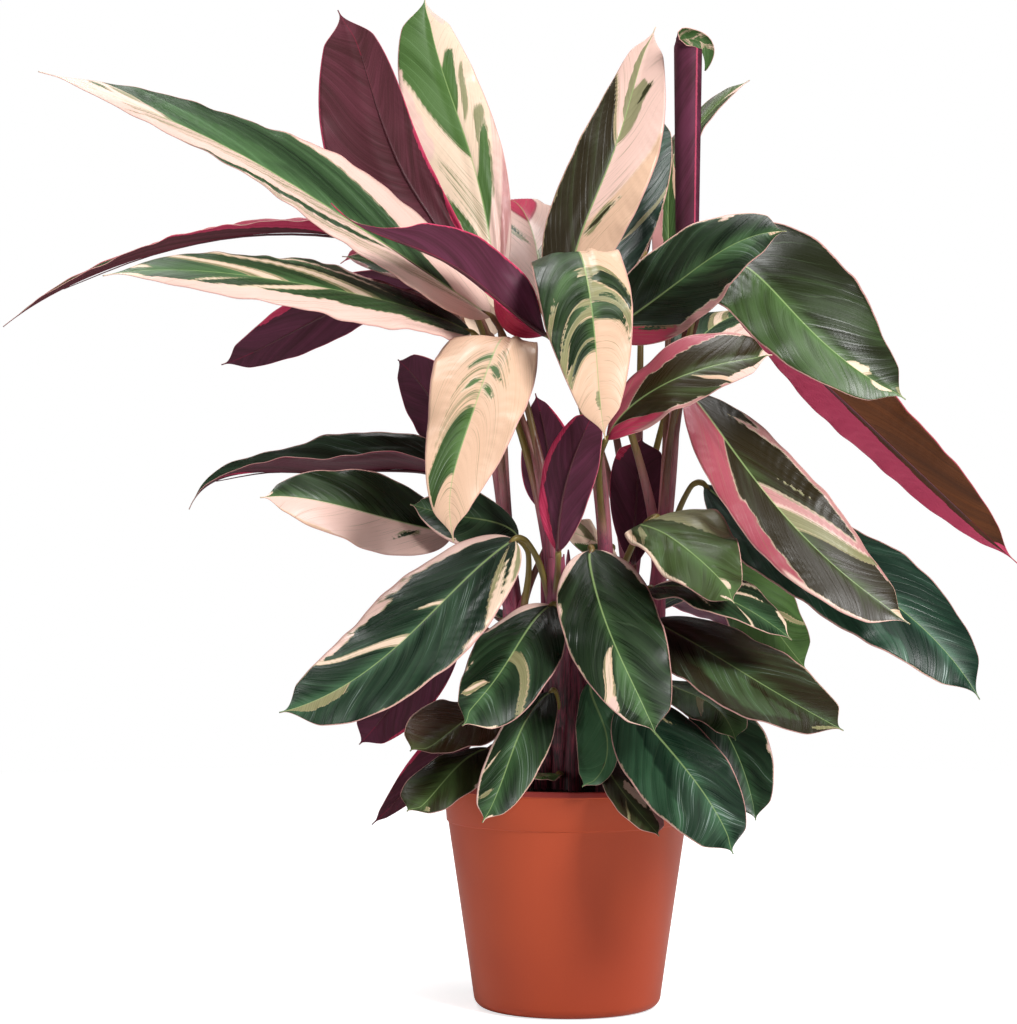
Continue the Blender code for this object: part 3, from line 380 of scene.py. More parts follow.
# How each leaf is painted: how light its green is and how blue, its ground colour, and strokes in the order
# of painting. A stroke follows the side veins: its colour, its side as seen from the base to the tip on the
# upper face, the shares of the rib between which its veins leave, and how far across the half blade it
# runs, 0 at the rib.
L, R = -1, 1
PAINT = {
    "upper_leaf_1": (0.3, 0.25, "blush", [
        ("wash", L, 0.28, 0.8, 0, 0.6), ("green", L, 0.19, 0.27, 0.08, 1), ("wash", L, 0.0, 0.18, 0, 1),
        ("green", R, 0.1, 0.74, 0, 1), ("blush", R, -0.5, 0.1, 0.35, 1),
        ("bright", R, 0.4, 0.7, 0.1, 0.6), ("sage", R, 0.72, 0.78, 0.1, 0.8),
        ("green", R, 0.8, 0.84, 0.3, 0.9), ("sage", L, 0.62, 0.65, 0.3, 0.9)]),
    "upper_leaf_2": (0.4, 0.2, "green", [
        ("blush", L, -0.5, 1.1, 0.5, 1), ("cream", L, 0.45, 0.52, 0, 0.7), ("sage", R, 0.56, 0.66, 0, 1),
        ("cream", R, 0.58, 0.63, 0, 1), ("sage", R, 0.29, 0.4, 0, 1), ("cream", R, 0.32, 0.37, 0, 1),
        ("cream", R, 0.12, 0.17, 0.2, 1), ("cream", L, 0.62, 0.67, 0.1, 0.7),
        ("cream", R, 0.84, 0.9, 0.2, 1), ("cream", L, 0.86, 1.1, 0.2, 1), ("cream", R, 0.97, 1.1, 0, 1),
        ("blush", R, -0.5, -0.05, 0.5, 1)]),
    "upper_leaf_3": (0.3, 0.2, "green", [
        ("hot", R, -0.5, 0.3, 0, 1), ("hot", L, -0.4, 1.1, 0.97, 1), ("cream", L, 0.92, 1.1, 0, 1)]),
    "upper_leaf_4": (0.3, 0.2, "green", [
        ("hot", L, -0.5, 0.05, 0.6, 1), ("hot", L, 0.0, 0.4, 0.9, 1), ("hot", R, 0.0, 0.3, 0.9, 1)]),
    "upper_leaf_5": (0.72, 0, "cream", [
        ("blush", R, -0.5, 0.24, 0, 1), ("pink", R, -0.1, 0.1, 0.3, 1), ("wash", L, 0.18, 0.32, 0, 0.8),
        ("green", L, 0.05, 0.14, 0, 0.9), ("green", L, 0.47, 1.1, 0, 1),
        ("blush", L, 0.3, 0.52, 0.85, 1), ("sage", R, 0.2, 0.46, 0.05, 0.85),
        ("green", R, 0.24, 0.4, 0, 0.75), ("sage", R, 0.5, 0.6, 0.1, 0.8),
        ("green", R, 0.62, 0.76, 0, 0.6), ("blush", R, 0.85, 1.1, 0.3, 1),
        ("blush", L, 0.2, 0.44, 0.6, 1)]),
    "upper_leaf_6": (0.4, 0.2, "blush", [
        ("hot", L, 0.45, 1.1, 0, 1), ("hot", R, 0.45, 1.1, 0, 1), ("sage", R, 0.15, 0.25, 0, 0.8),
        ("olive", R, 0.18, 0.21, 0.1, 0.7), ("sage", L, 0.2, 0.32, 0.1, 1),
        ("green", L, 0.25, 0.29, 0.2, 0.9)]),
    "upper_leaf_7": (0, 0, "peach", [
        ("blush", R, 0.3, 1.1, 0, 1), ("blush", L, 0.6, 1.1, 0, 1), ("sage", L, -0.5, 0.6, 0, 1),
        ("green", L, -0.5, 0.57, 0, 1), ("sage", L, -0.5, 0.5, 0.94, 1),
        ("sage", R, 0.2, 0.3, 0.05, 0.5), ("olive", R, 0.23, 0.27, 0.1, 0.5),
        ("sage", L, 0.66, 1, 0, 0.3), ("sage", R, 0.58, 0.78, 0, 0.5), ("olive", R, 0.65, 0.7, 0.2, 0.6)]),
    "upper_leaf_8": (0.25, 0.9, "green", [
        ("sage", R, 0.25, 0.3, 0.1, 1), ("blush", R, -0.5, 1, 0.95, 1)]),
    "upper_leaf_10": (0.3, 0, "green", [("blush", R, 0.85, 1.1, 0, 1)]),
    "upper_leaf_11": (0.3, 0, "green", [("pink", L, -0.3, 1.1, 0.3, 1), ("peach", R, 0.5, 1.1, 0.4, 1)]),
    "upper_leaf_12": (0.3, 0.2, "green", [
        ("hot", L, -0.5, 0.25, 0, 1), ("hot", R, -0.5, 0.2, 0, 1), ("cream", L, -0.5, 0.1, 0.8, 1),
        ("hot", R, -0.3, 1.1, 0.9, 1)]),
    "upper_leaf_13": (0.35, 0.1, "green", [
        ("pink", R, -0.3, 0.3, 0.2, 1), ("pink", L, -0.3, 0.4, 0.2, 1), ("olive", R, 0.3, 0.6, 0.1, 1),
        ("pink", L, 0.6, 1.1, 0.6, 1), ("pink", R, 0.75, 1.1, 0.5, 1)]),
    "middle_leaf_1": (0.24, 0.1, "peach", [
        ("sage", R, -0.5, 0.7, 0, 1), ("green", R, -0.5, 0.36, 0, 1), ("olive", R, 0.34, 0.42, 0.1, 0.8),
        ("green", R, 0.4, 0.5, 0, 1), ("olive", R, 0.515, 0.545, 0.05, 0.8),
        ("green", R, 0.575, 0.65, 0, 0.95), ("green", R, 0.665, 0.7, 0, 0.9),
        ("peach", R, 0.6, 1.1, 0.94, 1), ("sage", L, 0.35, 0.54, 0, 1),
        ("green", L, 0.37, 0.45, 0.03, 1), ("olive", L, 0.475, 0.5, 0.2, 0.8),
        ("peach", L, 0.1, 0.6, 0.93, 1), ("green", L, 0.52, 0.58, 0, 0.97),
        ("sage", R, 0.84, 0.9, 0, 0.2)]),
    "middle_leaf_2": (0.5, 0, "peach", [
        ("wash", R, 0.33, 0.56, 0, 0.8), ("green", R, 0.53, 0.78, 0, 1), ("peach", R, 0.3, 1.1, 0.87, 1),
        ("wash", L, 0.22, 0.38, 0.05, 0.6), ("green", L, 0.34, 0.38, 0.02, 0.35),
        ("olive", L, 0.43, 0.46, 0.02, 0.3), ("olive", R, 0.4, 0.43, 0.05, 0.35),
        ("olive", R, 0.3, 0.32, 0, 0.35)]),
    "middle_leaf_3": (0.16, 0.3, "green", [
        ("hot", R, -0.5, 0.05, 0, 1), ("pink", R, -0.1, 0.35, 0.8, 1), ("olive", R, 0.0, 0.04, 0.4, 0.8),
        ("olive", R, 0.5, 0.85, 0, 0.6), ("pink", R, 0.2, 1.1, 0.93, 1),
        ("blush", L, 0.36, 0.46, 0.8, 1), ("blush", L, -0.4, 1.1, 0.95, 1),
        ("wash", R, 0.92, 1.1, 0, 0.6)]),
    # Painted light and shade: bright lights the right half, and deep shades the left half near the base.
    "middle_leaf_4": (0.24, 0.05, "green", [
        ("olive", R, -0.5, 0.5, 0, 1), ("bright", R, 0.3, 1.1, 0, 1), ("deep", L, -0.5, 0.3, 0, 1),
        ("cream", L, 0.76, 0.84, 0, 0.25), ("cream", R, 0.86, 0.95, 0, 0.3),
        ("sage", L, 0.93, 1.1, 0.1, 1)]),
    "middle_leaf_5": (0.1, 0, "green", [("vivid", L, -0.5, 1.1, 0.05, 1), ("vivid", R, 0.92, 1.1, 0, 1)]),
    "middle_leaf_6": (0.08, 0, "green", [
        ("rose", L, -0.5, 0.2, 0, 1), ("rose", L, 0.1, 0.42, 0.45, 1), ("pink", L, 0.35, 0.7, 0.88, 1),
        ("hot", R, -0.5, 0.06, 0, 1), ("pink", R, -0.2, 0.5, 0.85, 1), ("olive", R, 0.28, 0.4, 0.15, 1),
        ("peach", R, 0.52, 0.6, 0.1, 1), ("blush", R, 0.55, 1.1, 0.5, 1), ("blush", L, 0.93, 1.1, 0, 1)]),
    "middle_leaf_7": (0, 0, "green", [
        ("rose", R, -0.5, 0.24, 0, 1), ("rose", R, 0.15, 0.42, 0.5, 1), ("blush", R, 0.3, 1.1, 0.86, 1),
        ("pink", L, -0.5, 1.1, 0.9, 1), ("pink", L, -0.06, 0.02, 0.55, 1),
        ("olive", L, 0.28, 0.4, 0, 0.9), ("pink", L, 0.41, 0.5, 0, 1), ("sage", L, 0.5, 0.6, 0, 1),
        ("sage", L, 0.3, 0.33, 0.4, 0.7), ("peach", L, 0.93, 1.1, 0, 1)]),
    "middle_leaf_8": (0.15, 0.9, "green", [
        ("blush", R, -0.5, 1.1, 0.96, 1), ("olive", L, 0.6, 0.7, 0, 0.8),
        ("bright", R, -0.4, 0.6, 0.3, 1)]),
    "middle_leaf_9": (0.25, 0.1, "olive", [
        ("sage", L, -0.5, 0.2, 0.1, 1), ("sage", R, 0.0, 0.12, 0.1, 0.8), ("green", R, 0.3, 0.9, 0, 0.9),
        ("green", L, 0.5, 0.6, 0, 0.9), ("cream", R, -0.5, 0.0, 0.5, 1),
        ("cream", R, -0.1, 0.5, 0.88, 1), ("cream", L, 0.3, 0.8, 0.93, 1),
        ("cream", L, 0.8, 0.9, 0, 0.3), ("cream", R, 0.88, 1.1, 0.2, 0.8)]),
    "middle_leaf_10": (0.25, 0.4, "green", [
        ("blush", L, -0.5, 0.12, 0.2, 1), ("cream", L, 0.2, 0.28, 0.2, 1),
        ("cream", L, 0.44, 0.5, 0, 0.9), ("cream", L, 0.6, 1.1, 0.7, 1), ("cream", R, 0.3, 0.36, 0, 0.8),
        ("cream", R, 0.6, 0.65, 0.1, 1), ("cream", R, 0.1, 1.1, 0.93, 1)]),
    "middle_leaf_11": (0.6, 0, "green", [("cream", R, 0.3, 1.1, 0.6, 1), ("sage", L, 0.5, 0.56, 0, 1)]),
    "middle_leaf_12": (0.2, 0, "green", [("hot", R, -0.5, 0.1, 0.3, 1), ("hot", R, 0.0, 0.9, 0.78, 1)]),
    "middle_leaf_13": (0.2, 0, "green", [("hot", L, -0.3, 1, 0.9, 1)]),
    "middle_leaf_14": (0.2, 0, "green", [("hot", R, 0.6, 1.1, 0.6, 1)]),
    "middle_leaf_15": (0.5, 0.1, "cream", [("green", L, 0.2, 0.5, 0.1, 1), ("sage", R, 0.4, 0.6, 0, 1)]),
    "left_leaf_1": (0.3, 0.8, "green", [("hot", R, -0.3, 1.1, 0.93, 1), ("sage", L, 0.7, 0.76, 0, 0.9)]),
    "left_leaf_2": (0.2, 0.1, "green", [
        ("blush", L, -0.5, 1.1, 0, 1), ("sage", L, 0.1, 0.2, 0.1, 0.5),
        ("olive", L, 0.13, 0.17, 0.15, 0.5), ("peach", L, 0.1, 1.1, 0.9, 1),
        ("blush", R, 0.9, 1.1, 0.2, 1)]),
    "left_leaf_3": (0.25, 0.4, "green", [
        ("blush", L, -0.5, 1.1, 0.85, 1), ("blush", R, -0.2, 1.1, 0.9, 1)]),
    "left_leaf_4": (0.3, 0.2, "green", []),
    "left_leaf_5": (0.3, 0.2, "green", [("pink", L, 0.2, 0.45, 0.7, 1)]),
    "lower_leaf_1": (0.12, 0.4, "green", [
        ("deep", L, -0.5, 0.2, 0, 1), ("bright", R, 0.1, 0.8, 0.1, 0.8),
        ("olive", R, -0.1, 0.03, 0.1, 0.6), ("sage", R, 0.84, 1.1, 0.3, 0.9),
        ("blush", L, 0.2, 1.1, 0.97, 1)]),
    "lower_leaf_2": (0.2, 0.2, "green", [
        ("blush", R, -0.5, -0.12, 0.2, 1), ("blush", R, -0.3, 0.3, 0.92, 1),
        ("sage", R, 0.49, 0.61, 0.05, 1), ("cream", R, 0.51, 0.58, 0.05, 1),
        ("blush", R, 0.55, 0.7, 0.6, 1), ("blush", R, 0.6, 1.1, 0.9, 1),
        ("blush", L, -0.4, -0.1, 0.8, 1), ("bright", R, 0.6, 0.9, 0, 0.6)]),
    "lower_leaf_3": (0.2, 0.35, "green", [
        ("blush", R, -0.5, 0.0, 0, 1), ("sage", L, 0.42, 0.51, 0, 1), ("cream", R, 0.26, 0.3, 0.75, 1),
        ("sage", R, 0.6, 0.76, 0.1, 0.9), ("cream", R, 0.64, 0.69, 0.2, 0.8),
        ("cream", L, 0.75, 1.1, 0.85, 1), ("blush", R, 0.1, 1.1, 0.94, 1)]),
    "lower_leaf_4": (0.2, 0.6, "green", [
        ("cream", L, -0.5, -0.02, 0.2, 1), ("sage", L, -0.3, -0.2, 0.3, 1),
        ("green", L, -0.14, -0.09, 0.3, 0.9), ("sage", L, -0.04, 0.02, 0.1, 0.9),
        ("blush", L, -0.3, 0.4, 0.92, 1), ("blush", R, -0.5, -0.05, 0.5, 1),
        ("blush", R, -0.1, 0.5, 0.76, 1), ("green", R, -0.02, 0.03, 0.6, 0.95),
        ("green", R, 0.09, 0.15, 0.6, 0.93), ("green", R, 0.24, 0.32, 0.6, 0.92),
        ("cream", R, 0.33, 0.36, 0, 0.3), ("cream", R, 0.5, 0.56, 0, 1), ("cream", R, 0.5, 0.9, 0.93, 1),
        ("sage", L, 0.75, 1.1, 0, 0.4)]),
    "lower_leaf_5": (0.2, 0.3, "green", [
        ("blush", R, -0.3, 1.1, 0.88, 1), ("cream", R, 0.35, 0.4, 0.5, 0.95),
        ("cream", L, 0.0, 1.1, 0.96, 1), ("sage", R, 0.7, 0.77, 0.2, 0.9),
        ("cream", L, 0.9, 1.1, 0.3, 1)]),
    "lower_leaf_6": (0.18, 0, "green", [
        ("blush", L, -0.3, 0.1, 0.85, 1), ("sage", L, 0.8, 0.88, 0.2, 0.9)]),
    "lower_leaf_7": (0.1, 0, "green", [("pink", R, -0.2, 1.1, 0.93, 1)]),
    "lower_leaf_8": (0.2, 0.1, "green", [("hot", L, 0, 0.3, 0.8, 1)]),
    "lower_leaf_9": (0.2, 0.1, "green", [("hot", R, 0, 0.9, 0.9, 1)]),
    "lower_leaf_10": (0.7, 0.6, "green", [
        ("bright", R, 0, 0.8, 0.1, 0.9), ("bright", L, 0.3, 1, 0.1, 0.9), ("blush", L, 0, 1.1, 0.95, 1)]),
    "lower_leaf_11": (0.15, 0.7, "green", [
        ("bright", R, -0.5, 0.5, 0.2, 1), ("blush", R, -0.1, 1.1, 0.97, 1),
        ("sage", L, 0.05, 0.09, 0.3, 0.6)]),
    "lower_leaf_12": (0.2, 0.3, "green", [
        ("pink", L, 0.0, 1.1, 0.5, 1), ("cream", L, 0.2, 0.6, 0.1, 0.6), ("sage", R, 0.5, 0.56, 0.1, 1)]),
    "lower_leaf_13": (0.15, 0.5, "green", [("blush", L, 0, 0.5, 0.92, 1)]),
    "lower_leaf_14": (0.5, 0.2, "green", [
        ("blush", L, -0.2, 0.3, 0.85, 1), ("sage", R, 0.4, 0.5, 0, 0.8)]),
    "lower_leaf_15": (0.8, 0, "olive", [("sage", R, 0.2, 0.6, 0, 1)]),
    "back_leaf_1": (0.35, 0.3, "green", [
        ("sage", L, 0.2, 0.34, 0, 1), ("cream", L, 0.24, 0.3, 0, 1), ("blush", R, -0.2, 0.2, 0.3, 1),
        ("cream", R, 0.5, 0.56, 0, 0.9), ("sage", R, 0.56, 0.66, 0.1, 1), ("blush", L, 0.6, 1.1, 0.8, 1)]),
    "back_leaf_2": (0.5, 0.2, "cream", [
        ("sage", R, 0.25, 0.6, 0, 1), ("green", R, 0.3, 0.55, 0, 0.9), ("green", L, 0.15, 0.28, 0, 0.8),
        ("olive", L, 0.5, 0.6, 0.1, 1), ("green", L, 0.62, 0.8, 0, 0.9), ("blush", R, 0.8, 1.1, 0, 1)]),
    "back_leaf_3": (0.25, 0.5, "green", [
        ("blush", L, -0.2, 0.16, 0.2, 1), ("cream", R, 0.4, 0.45, 0, 1), ("sage", R, 0.44, 0.52, 0.2, 1),
        ("blush", R, 0.5, 1.1, 0.85, 1)]),
    "back_leaf_4": (0.2, 0.6, "green", [
        ("sage", R, 0.1, 0.18, 0, 0.9), ("cream", L, 0.56, 0.62, 0.1, 1),
        ("blush", L, 0.6, 1.1, 0.86, 1)]),
    "upper_leaf_9": (0.8, 0.1, "green", [
        ("hot", R, -0.3, 0.4, 0.95, 1), ("cream", L, 0.8, 0.82, 0, 1), ("cream", L, 0.85, 0.87, 0, 1),
        ("cream", L, 0.9, 0.92, 0, 1), ("cream", R, 0.82, 0.84, 0, 1), ("cream", R, 0.87, 0.89, 0, 1),
        ("cream", R, 0.92, 0.94, 0, 1)]),
}


# Meshes

def unit(vectors):
    """Rows scaled to length one."""
    return vectors / np.linalg.norm(vectors, axis=-1, keepdims=True)


def smooth(value):
    """Eases a share from 0 to 1."""
    share = np.clip(value, 0, 1)
    return share * share * (3 - 2 * share)


def rib_curve(points, at):
    """Places and directions on one smooth polynomial through the points, at the shares `at` of its length."""
    points = np.array(points, float) * MM
    steps = np.linalg.norm(np.diff(points, axis=0), axis=1)
    knots = np.concatenate([[0], np.cumsum(steps)]) / steps.sum()
    curve = np.polyfit(knots, points, len(points) - 1)
    slope = [np.polyder(curve[:, axis]) for axis in range(3)]
    fine = np.linspace(0, 1, RIB_SAMPLES)
    traced = np.stack([np.polyval(curve[:, axis], fine) for axis in range(3)], axis=1)
    lengths = np.concatenate([[0], np.cumsum(np.linalg.norm(np.diff(traced, axis=0), axis=1))])
    knot = np.interp(np.asarray(at) * lengths[-1], lengths, fine)
    places = np.stack([np.polyval(curve[:, axis], knot) for axis in range(3)], axis=1)
    directions = unit(np.stack([np.polyval(slope[axis], knot) for axis in range(3)], axis=1))
    return places, directions, lengths[-1]


def outline(leaf, u):
    """Half width of a blade along its rib, as a share of the widest place, with a short point at the tip."""
    base, tip = OUTLINES.get(leaf.name, (BASE_ROUNDING, TIP_TAPER))
    widest = base / (base + tip)
    return (u / widest) ** base * ((1 - u) / (1 - widest)) ** tip * smooth((1 - u) / TIP_POINT)


def blade_frame(leaf, u):
    """The rib's places, the directions across and up from it, and the blade's half width there."""
    places, directions, length = rib_curve(leaf.rib, u)
    turn = (u * u * (3 - 2 * u))[:, None]
    faces = unit(np.array(leaf.faces, float))
    upward = faces[0] * (1 - turn) + faces[1] * turn
    upward = unit(upward - (upward * directions).sum(axis=1, keepdims=True) * directions)
    across = np.cross(directions, upward)
    least = BLADE_NECK * (1 - u) + BLADE_TIP * u
    width = np.maximum(leaf.half_width * MM * outline(leaf, u), least)
    return places, across, upward, width, length


def vein_share(leaf, u, s):
    """Where the side vein through a point leaves the rib, as a share of the rib."""
    right = VEIN_PATHS.get(leaf.name, VEIN_PATH)
    left = LEFT_VEIN_PATHS.get(leaf.name, right)
    lean = np.where(s < 0, left[0] * np.abs(s) ** left[1], right[0] * np.abs(s) ** right[1])
    return u[:, None] - lean[None, :] * smooth((1 - u) / 0.3)[:, None]


def rib_shift(leaf, u):
    """Where the rib lies between the blade's edges at rib shares u: 0 is halfway, and 1 the right edge."""
    base, middle, tip = RIB_SHIFTS.get(leaf.name, (0, 0, 0))
    return base * (1 - u) ** 2 + 2 * middle * u * (1 - u) + tip * u * u


def blade_surface(leaf, u, s, seed):
    """The blade's middle surface at rib shares u and cross shares s: -1 is the left edge and 1 the right."""
    places, across, upward, width, length = blade_frame(leaf, u)
    half, side = np.abs(s), np.sign(s)
    shift = rib_shift(leaf, u)[:, None]
    from_middle = shift + s * (1 - shift * side)
    share, side = np.abs(from_middle), np.sign(from_middle)
    left, right = EXTRA_FOLDS.get(leaf.name, (0, 0))
    extra = np.where(side < 0, left, right) * smooth(u / 0.3)[:, None]
    swell = np.sin(pi * u)[:, None]
    fold, droop = np.radians(leaf.fold + extra), radians(leaf.droop)
    sideways = width[:, None] * (np.sin(fold) - np.sin(fold - droop * share)) / droop
    lift = width[:, None] * (np.cos(fold - droop * share) - np.cos(fold)) / droop
    ripple = np.sin(2 * pi * (2.5 * u[:, None] + 0.23 * side)) * swell
    lift = lift + leaf.wave * MM * share**2 * ripple
    waves = 2 * pi * length / EDGE_WAVE_LENGTH * u[:, None]
    shake = seed + 1.7 * side
    fine = np.sin(waves + shake) + 0.6 * np.sin(1.7 * waves + 2.3 * shake)
    lift = lift + EDGE_WAVE * share**3 * fine * swell
    puckers = np.sin(8 * s + 3 * np.sin(4 * s + seed)) * share
    lift = lift + PUCKER * leaf.wave * puckers * np.exp(-((u - 0.24) / 0.14) ** 2)[:, None]
    veins = vein_share(leaf, u, s)
    pleats = np.sin(2 * pi * length / PLEAT_SPACING * veins)
    lift = lift + PLEAT_HEIGHT * pleats * (smooth(half * 4) * smooth((1 - half) * 4)) * swell
    groove = np.exp(-((half * width[:, None]) / RIB_GROOVE_WIDTH) ** 2) * smooth((1 - u) * 2)[:, None]
    lift = (lift - RIB_GROOVE * groove)[..., None]
    sideways = (side * sideways)[..., None]
    return places[:, None] + across[:, None] * sideways + upward[:, None] * lift


def rolled_surface(u, s):
    """The young leaf that is still rolled up: each half wraps round the other, and its tip has bent over."""
    straight = ROLL_LENGTH / (ROLL_LENGTH + ROLL_TIP_LENGTH)
    foot, head = np.array(ROLL_FOOT) * MM, np.array(ROLL_HEAD) * MM
    past = np.clip((u - straight) / (1 - straight), 0, 1)
    bend = np.radians(np.interp(past, *zip(*ROLL_TIP_TURNS)))
    twist = (smooth(past * 4) * radians(ROLL_TIP_TWIST))[:, None]
    share = np.clip(u / straight, 0, 1)
    radius = np.interp(u, [0, 0.1, straight, 1], np.array([2.2, 9.5, 12.5, 14.5]) * MM)
    step = ROLL_TIP_LENGTH * MM * np.diff(past, prepend=0)
    spine = foot + (head - foot) * share[:, None]
    spine[:, 0] += np.cumsum(step * np.sin(bend)) - radius * 0.9
    spine[:, 2] += np.cumsum(step * np.cos(bend))
    stages = [0, straight, straight + 0.03, straight + 0.07, 0.95, 1]
    opening = np.interp(u, stages, [1, 1, 0.5, 0.34, 0.2, 0.02])[:, None]
    inner = ROLL_INNER_TURN * s * (0.45 + 0.55 * (u < straight)[:, None])
    angle = opening * np.where(s > 0, ROLL_OUTER_TURN * s, inner) * pi / 180
    reach = radius[:, None] * np.where(s > 0, 1.0, 0.88)[None, :]
    deep, near = reach * (1 - np.cos(angle)), reach * np.sin(angle)
    deep, near = deep * np.cos(twist) + near * np.sin(twist), near * np.cos(twist) - deep * np.sin(twist)
    points = np.repeat(spine[:, None], len(s), axis=1)
    points[..., 0] += deep * np.cos(bend)[:, None]
    points[..., 2] -= deep * np.sin(bend)[:, None]
    points[..., 1] -= near
    return points


def stroke_cover(veins, share, start, end, inner, outer):
    """How much of each point a stroke covers: full width at the rib or the edge, and pointed elsewhere."""
    along = np.clip((share - inner) / max(outer - inner, 0.001), 0, 1)[None, :]
    width = np.ones_like(along)
    if inner > 0:
        width = width * smooth(along * 1.8) ** 0.7
    if outer < 1:
        width = width * smooth((1 - along) * 1.8) ** 0.7
    inside = (share > inner - 0.02) & (share < outer + 0.02)
    reach = (end - start) / 2 * width - np.abs(veins - (start + end) / 2)
    return np.where(inside[None, :], np.clip(0.5 + reach / STROKE_EDGE, 0, 1), 0)


# Each colour's shares of green, sage, pink and light. None leaves what is below it.
PAINTS = {
    "green": (1, 0, None, None),
    "olive": (1, 0.5, None, 1),
    # bright and deep lighten and darken the green within a blade; on middle_leaf_4 they are painted light on
    # its right half and painted shade on its left half near the base.
    "bright": (1, 0, None, 1.5),
    "deep": (1, 0, None, -1),
    "sage": (0, 1, None, None),
    "wash": (0, 0.5, None, None),
    "cream": (0, 0, 0, 0.5),
    "peach": (0, 0, 0.05, 0),
    "blush": (0, 0, 0.4, 0.5),
    "pink": (0, 0, 0.62, 0.5),
    "rose": (0, 0, 0.78, 0),
    "hot": (0, 0, 1, 0.5),
    "vivid": (0, 0, 1, 1.5),
}


def painted(leaf, u, s):
    """The paint of a blade at each point of its grid: its shares of green, sage, pink and light."""
    _, _, ground, strokes = PAINT[leaf.name]
    veins = vein_share(leaf, u, s)
    paint = np.tile([value or 0.0 for value in PAINTS[ground]], (len(u), len(s), 1))
    for colour, side, start, end, inner, outer in strokes:
        cover = stroke_cover(veins, np.abs(s), start, end, inner, outer) * (s * side >= 0)[None, :]
        for channel, value in enumerate(PAINTS[colour]):
            if value is not None:
                paint[..., channel] += cover * (value - paint[..., channel])
    return paint


def grid_faces(rows, columns):
    """Quads of a grid of points, row by row."""
    row, column = np.meshgrid(np.arange(rows - 1), np.arange(columns - 1), indexing="ij")
    first = (row * columns + column).ravel()
    return np.stack([first, first + 1, first + columns + 1, first + columns], axis=1)


def new_piece(name, mesh, finishes):
    """Links a finished mesh, rides it on the part's one body and gives it its finishes."""
    piece = bpy.data.objects.new(name, mesh)
    bpy.context.scene.collection.objects.link(piece)
    for finish in finishes:
        mesh.materials.append(finish)
    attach(piece, "root")
    return piece


def blade_piece(leaf, surface, u, s, paint, length, width, seed, finishes):
    """A blade from its grid of points, with its colours and vein coordinates and the real one's thickness."""
    rows, columns = surface.shape[:2]
    mesh = bpy.data.meshes.new(leaf.name + "_blade")
    faces = grid_faces(rows, columns)
    mesh.from_pydata(surface.reshape(-1, 3).tolist(), [], faces.tolist())
    light, blue, _, _ = PAINT[leaf.name]
    warm = WARMTH.get(leaf.name, 0)
    add_colours(mesh, "paint", paint.reshape(-1, 4))
    add_colours(mesh, "tone", np.tile([light, blue, seed / 100, warm], (rows * columns, 1)))
    corners = faces.ravel()
    along, across = np.repeat(u, columns), np.tile(s, rows)
    veins = vein_share(leaf, u, s).ravel()
    half = np.repeat(width, columns)
    add_uv(mesh, "blade", np.stack([along, 0.5 + 0.5 * across], axis=1)[corners])
    add_uv(mesh, "veins", np.stack([veins * length, across * half], axis=1)[corners])
    mesh.shade_smooth()
    piece = new_piece(leaf.name + "_blade", mesh, finishes)
    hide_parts(leaf.name)
    body = piece.modifiers.new("Blade thickness", "SOLIDIFY")
    body.thickness = BLADE_THICK
    body.offset = 0
    body.material_offset = 1
    return piece


def add_colours(mesh, name, colours):
    """A colour attribute from four numbers for each point."""
    layer = mesh.attributes.new(name, "FLOAT_COLOR", "POINT")
    layer.data.foreach_set("color", colours.astype(np.float32).ravel())


def add_uv(mesh, name, coordinates):
    """A UV map from one pair of numbers for each corner."""
    layer = mesh.uv_layers.new(name=name)
    layer.data.foreach_set("uv", coordinates.astype(np.float32).ravel())


def cross_shares(count):
    """Cross shares of a blade's columns, closer together near the rib."""
    even = np.linspace(-1, 1, count)
    return np.sign(even) * np.abs(even) ** 1.35


def make_blades(finishes):
    """Every open blade and the rolled one."""
    draw = np.random.default_rng(BLADE_SEED)
    for leaf in LEAVES:
        _, _, length = rib_curve(leaf.rib, [0, 1])
        rows = int(np.clip(length / BLADE_STEP, *BLADE_ROWS))
        even = np.linspace(0, 1, rows)
        u = even - 0.03 * np.sin(2 * pi * even)
        s = cross_shares(BLADE_COLUMNS)
        seed = draw.uniform(0, 100)
        surface = blade_surface(leaf, u, s, seed)
        _, _, _, width, _ = blade_frame(leaf, u)
        blade_piece(leaf, surface, u, s, painted(leaf, u, s), length, width, seed, finishes)
    u, s = np.linspace(0, 1, ROLL_GRID[0]), np.linspace(1, -1, ROLL_GRID[1])
    length = (ROLL_LENGTH + ROLL_TIP_LENGTH) * MM
    width = np.full(len(u), ROLL_WIDTH * MM)
    paint = painted(YOUNG_LEAF, u, s)
    blade_piece(YOUNG_LEAF, rolled_surface(u, s), u, s, paint, length, width, 3.3, finishes)


# Geometry Nodes

def wired(tree, *joints):
    """Joins one node's output to another's input at each joint, by name or number."""
    for source, output, target, entry in joints:
        tree.links.new(source.outputs[output], target.inputs[entry])


def tree_with(name, inputs):
    """A Geometry Nodes tree with a geometry in and out and named inputs for its sizes."""
    tree = bpy.data.node_groups.new(name, "GeometryNodeTree")
    tree.interface.new_socket("Geometry", in_out="INPUT", socket_type="NodeSocketGeometry")
    for label, kind, value in inputs:
        socket = tree.interface.new_socket(label, in_out="INPUT", socket_type=kind)
        if value is not None:
            socket.default_value = value
    tree.interface.new_socket("Geometry", in_out="OUTPUT", socket_type="NodeSocketGeometry")
    return tree, tree.nodes.new("NodeGroupInput"), tree.nodes.new("NodeGroupOutput")


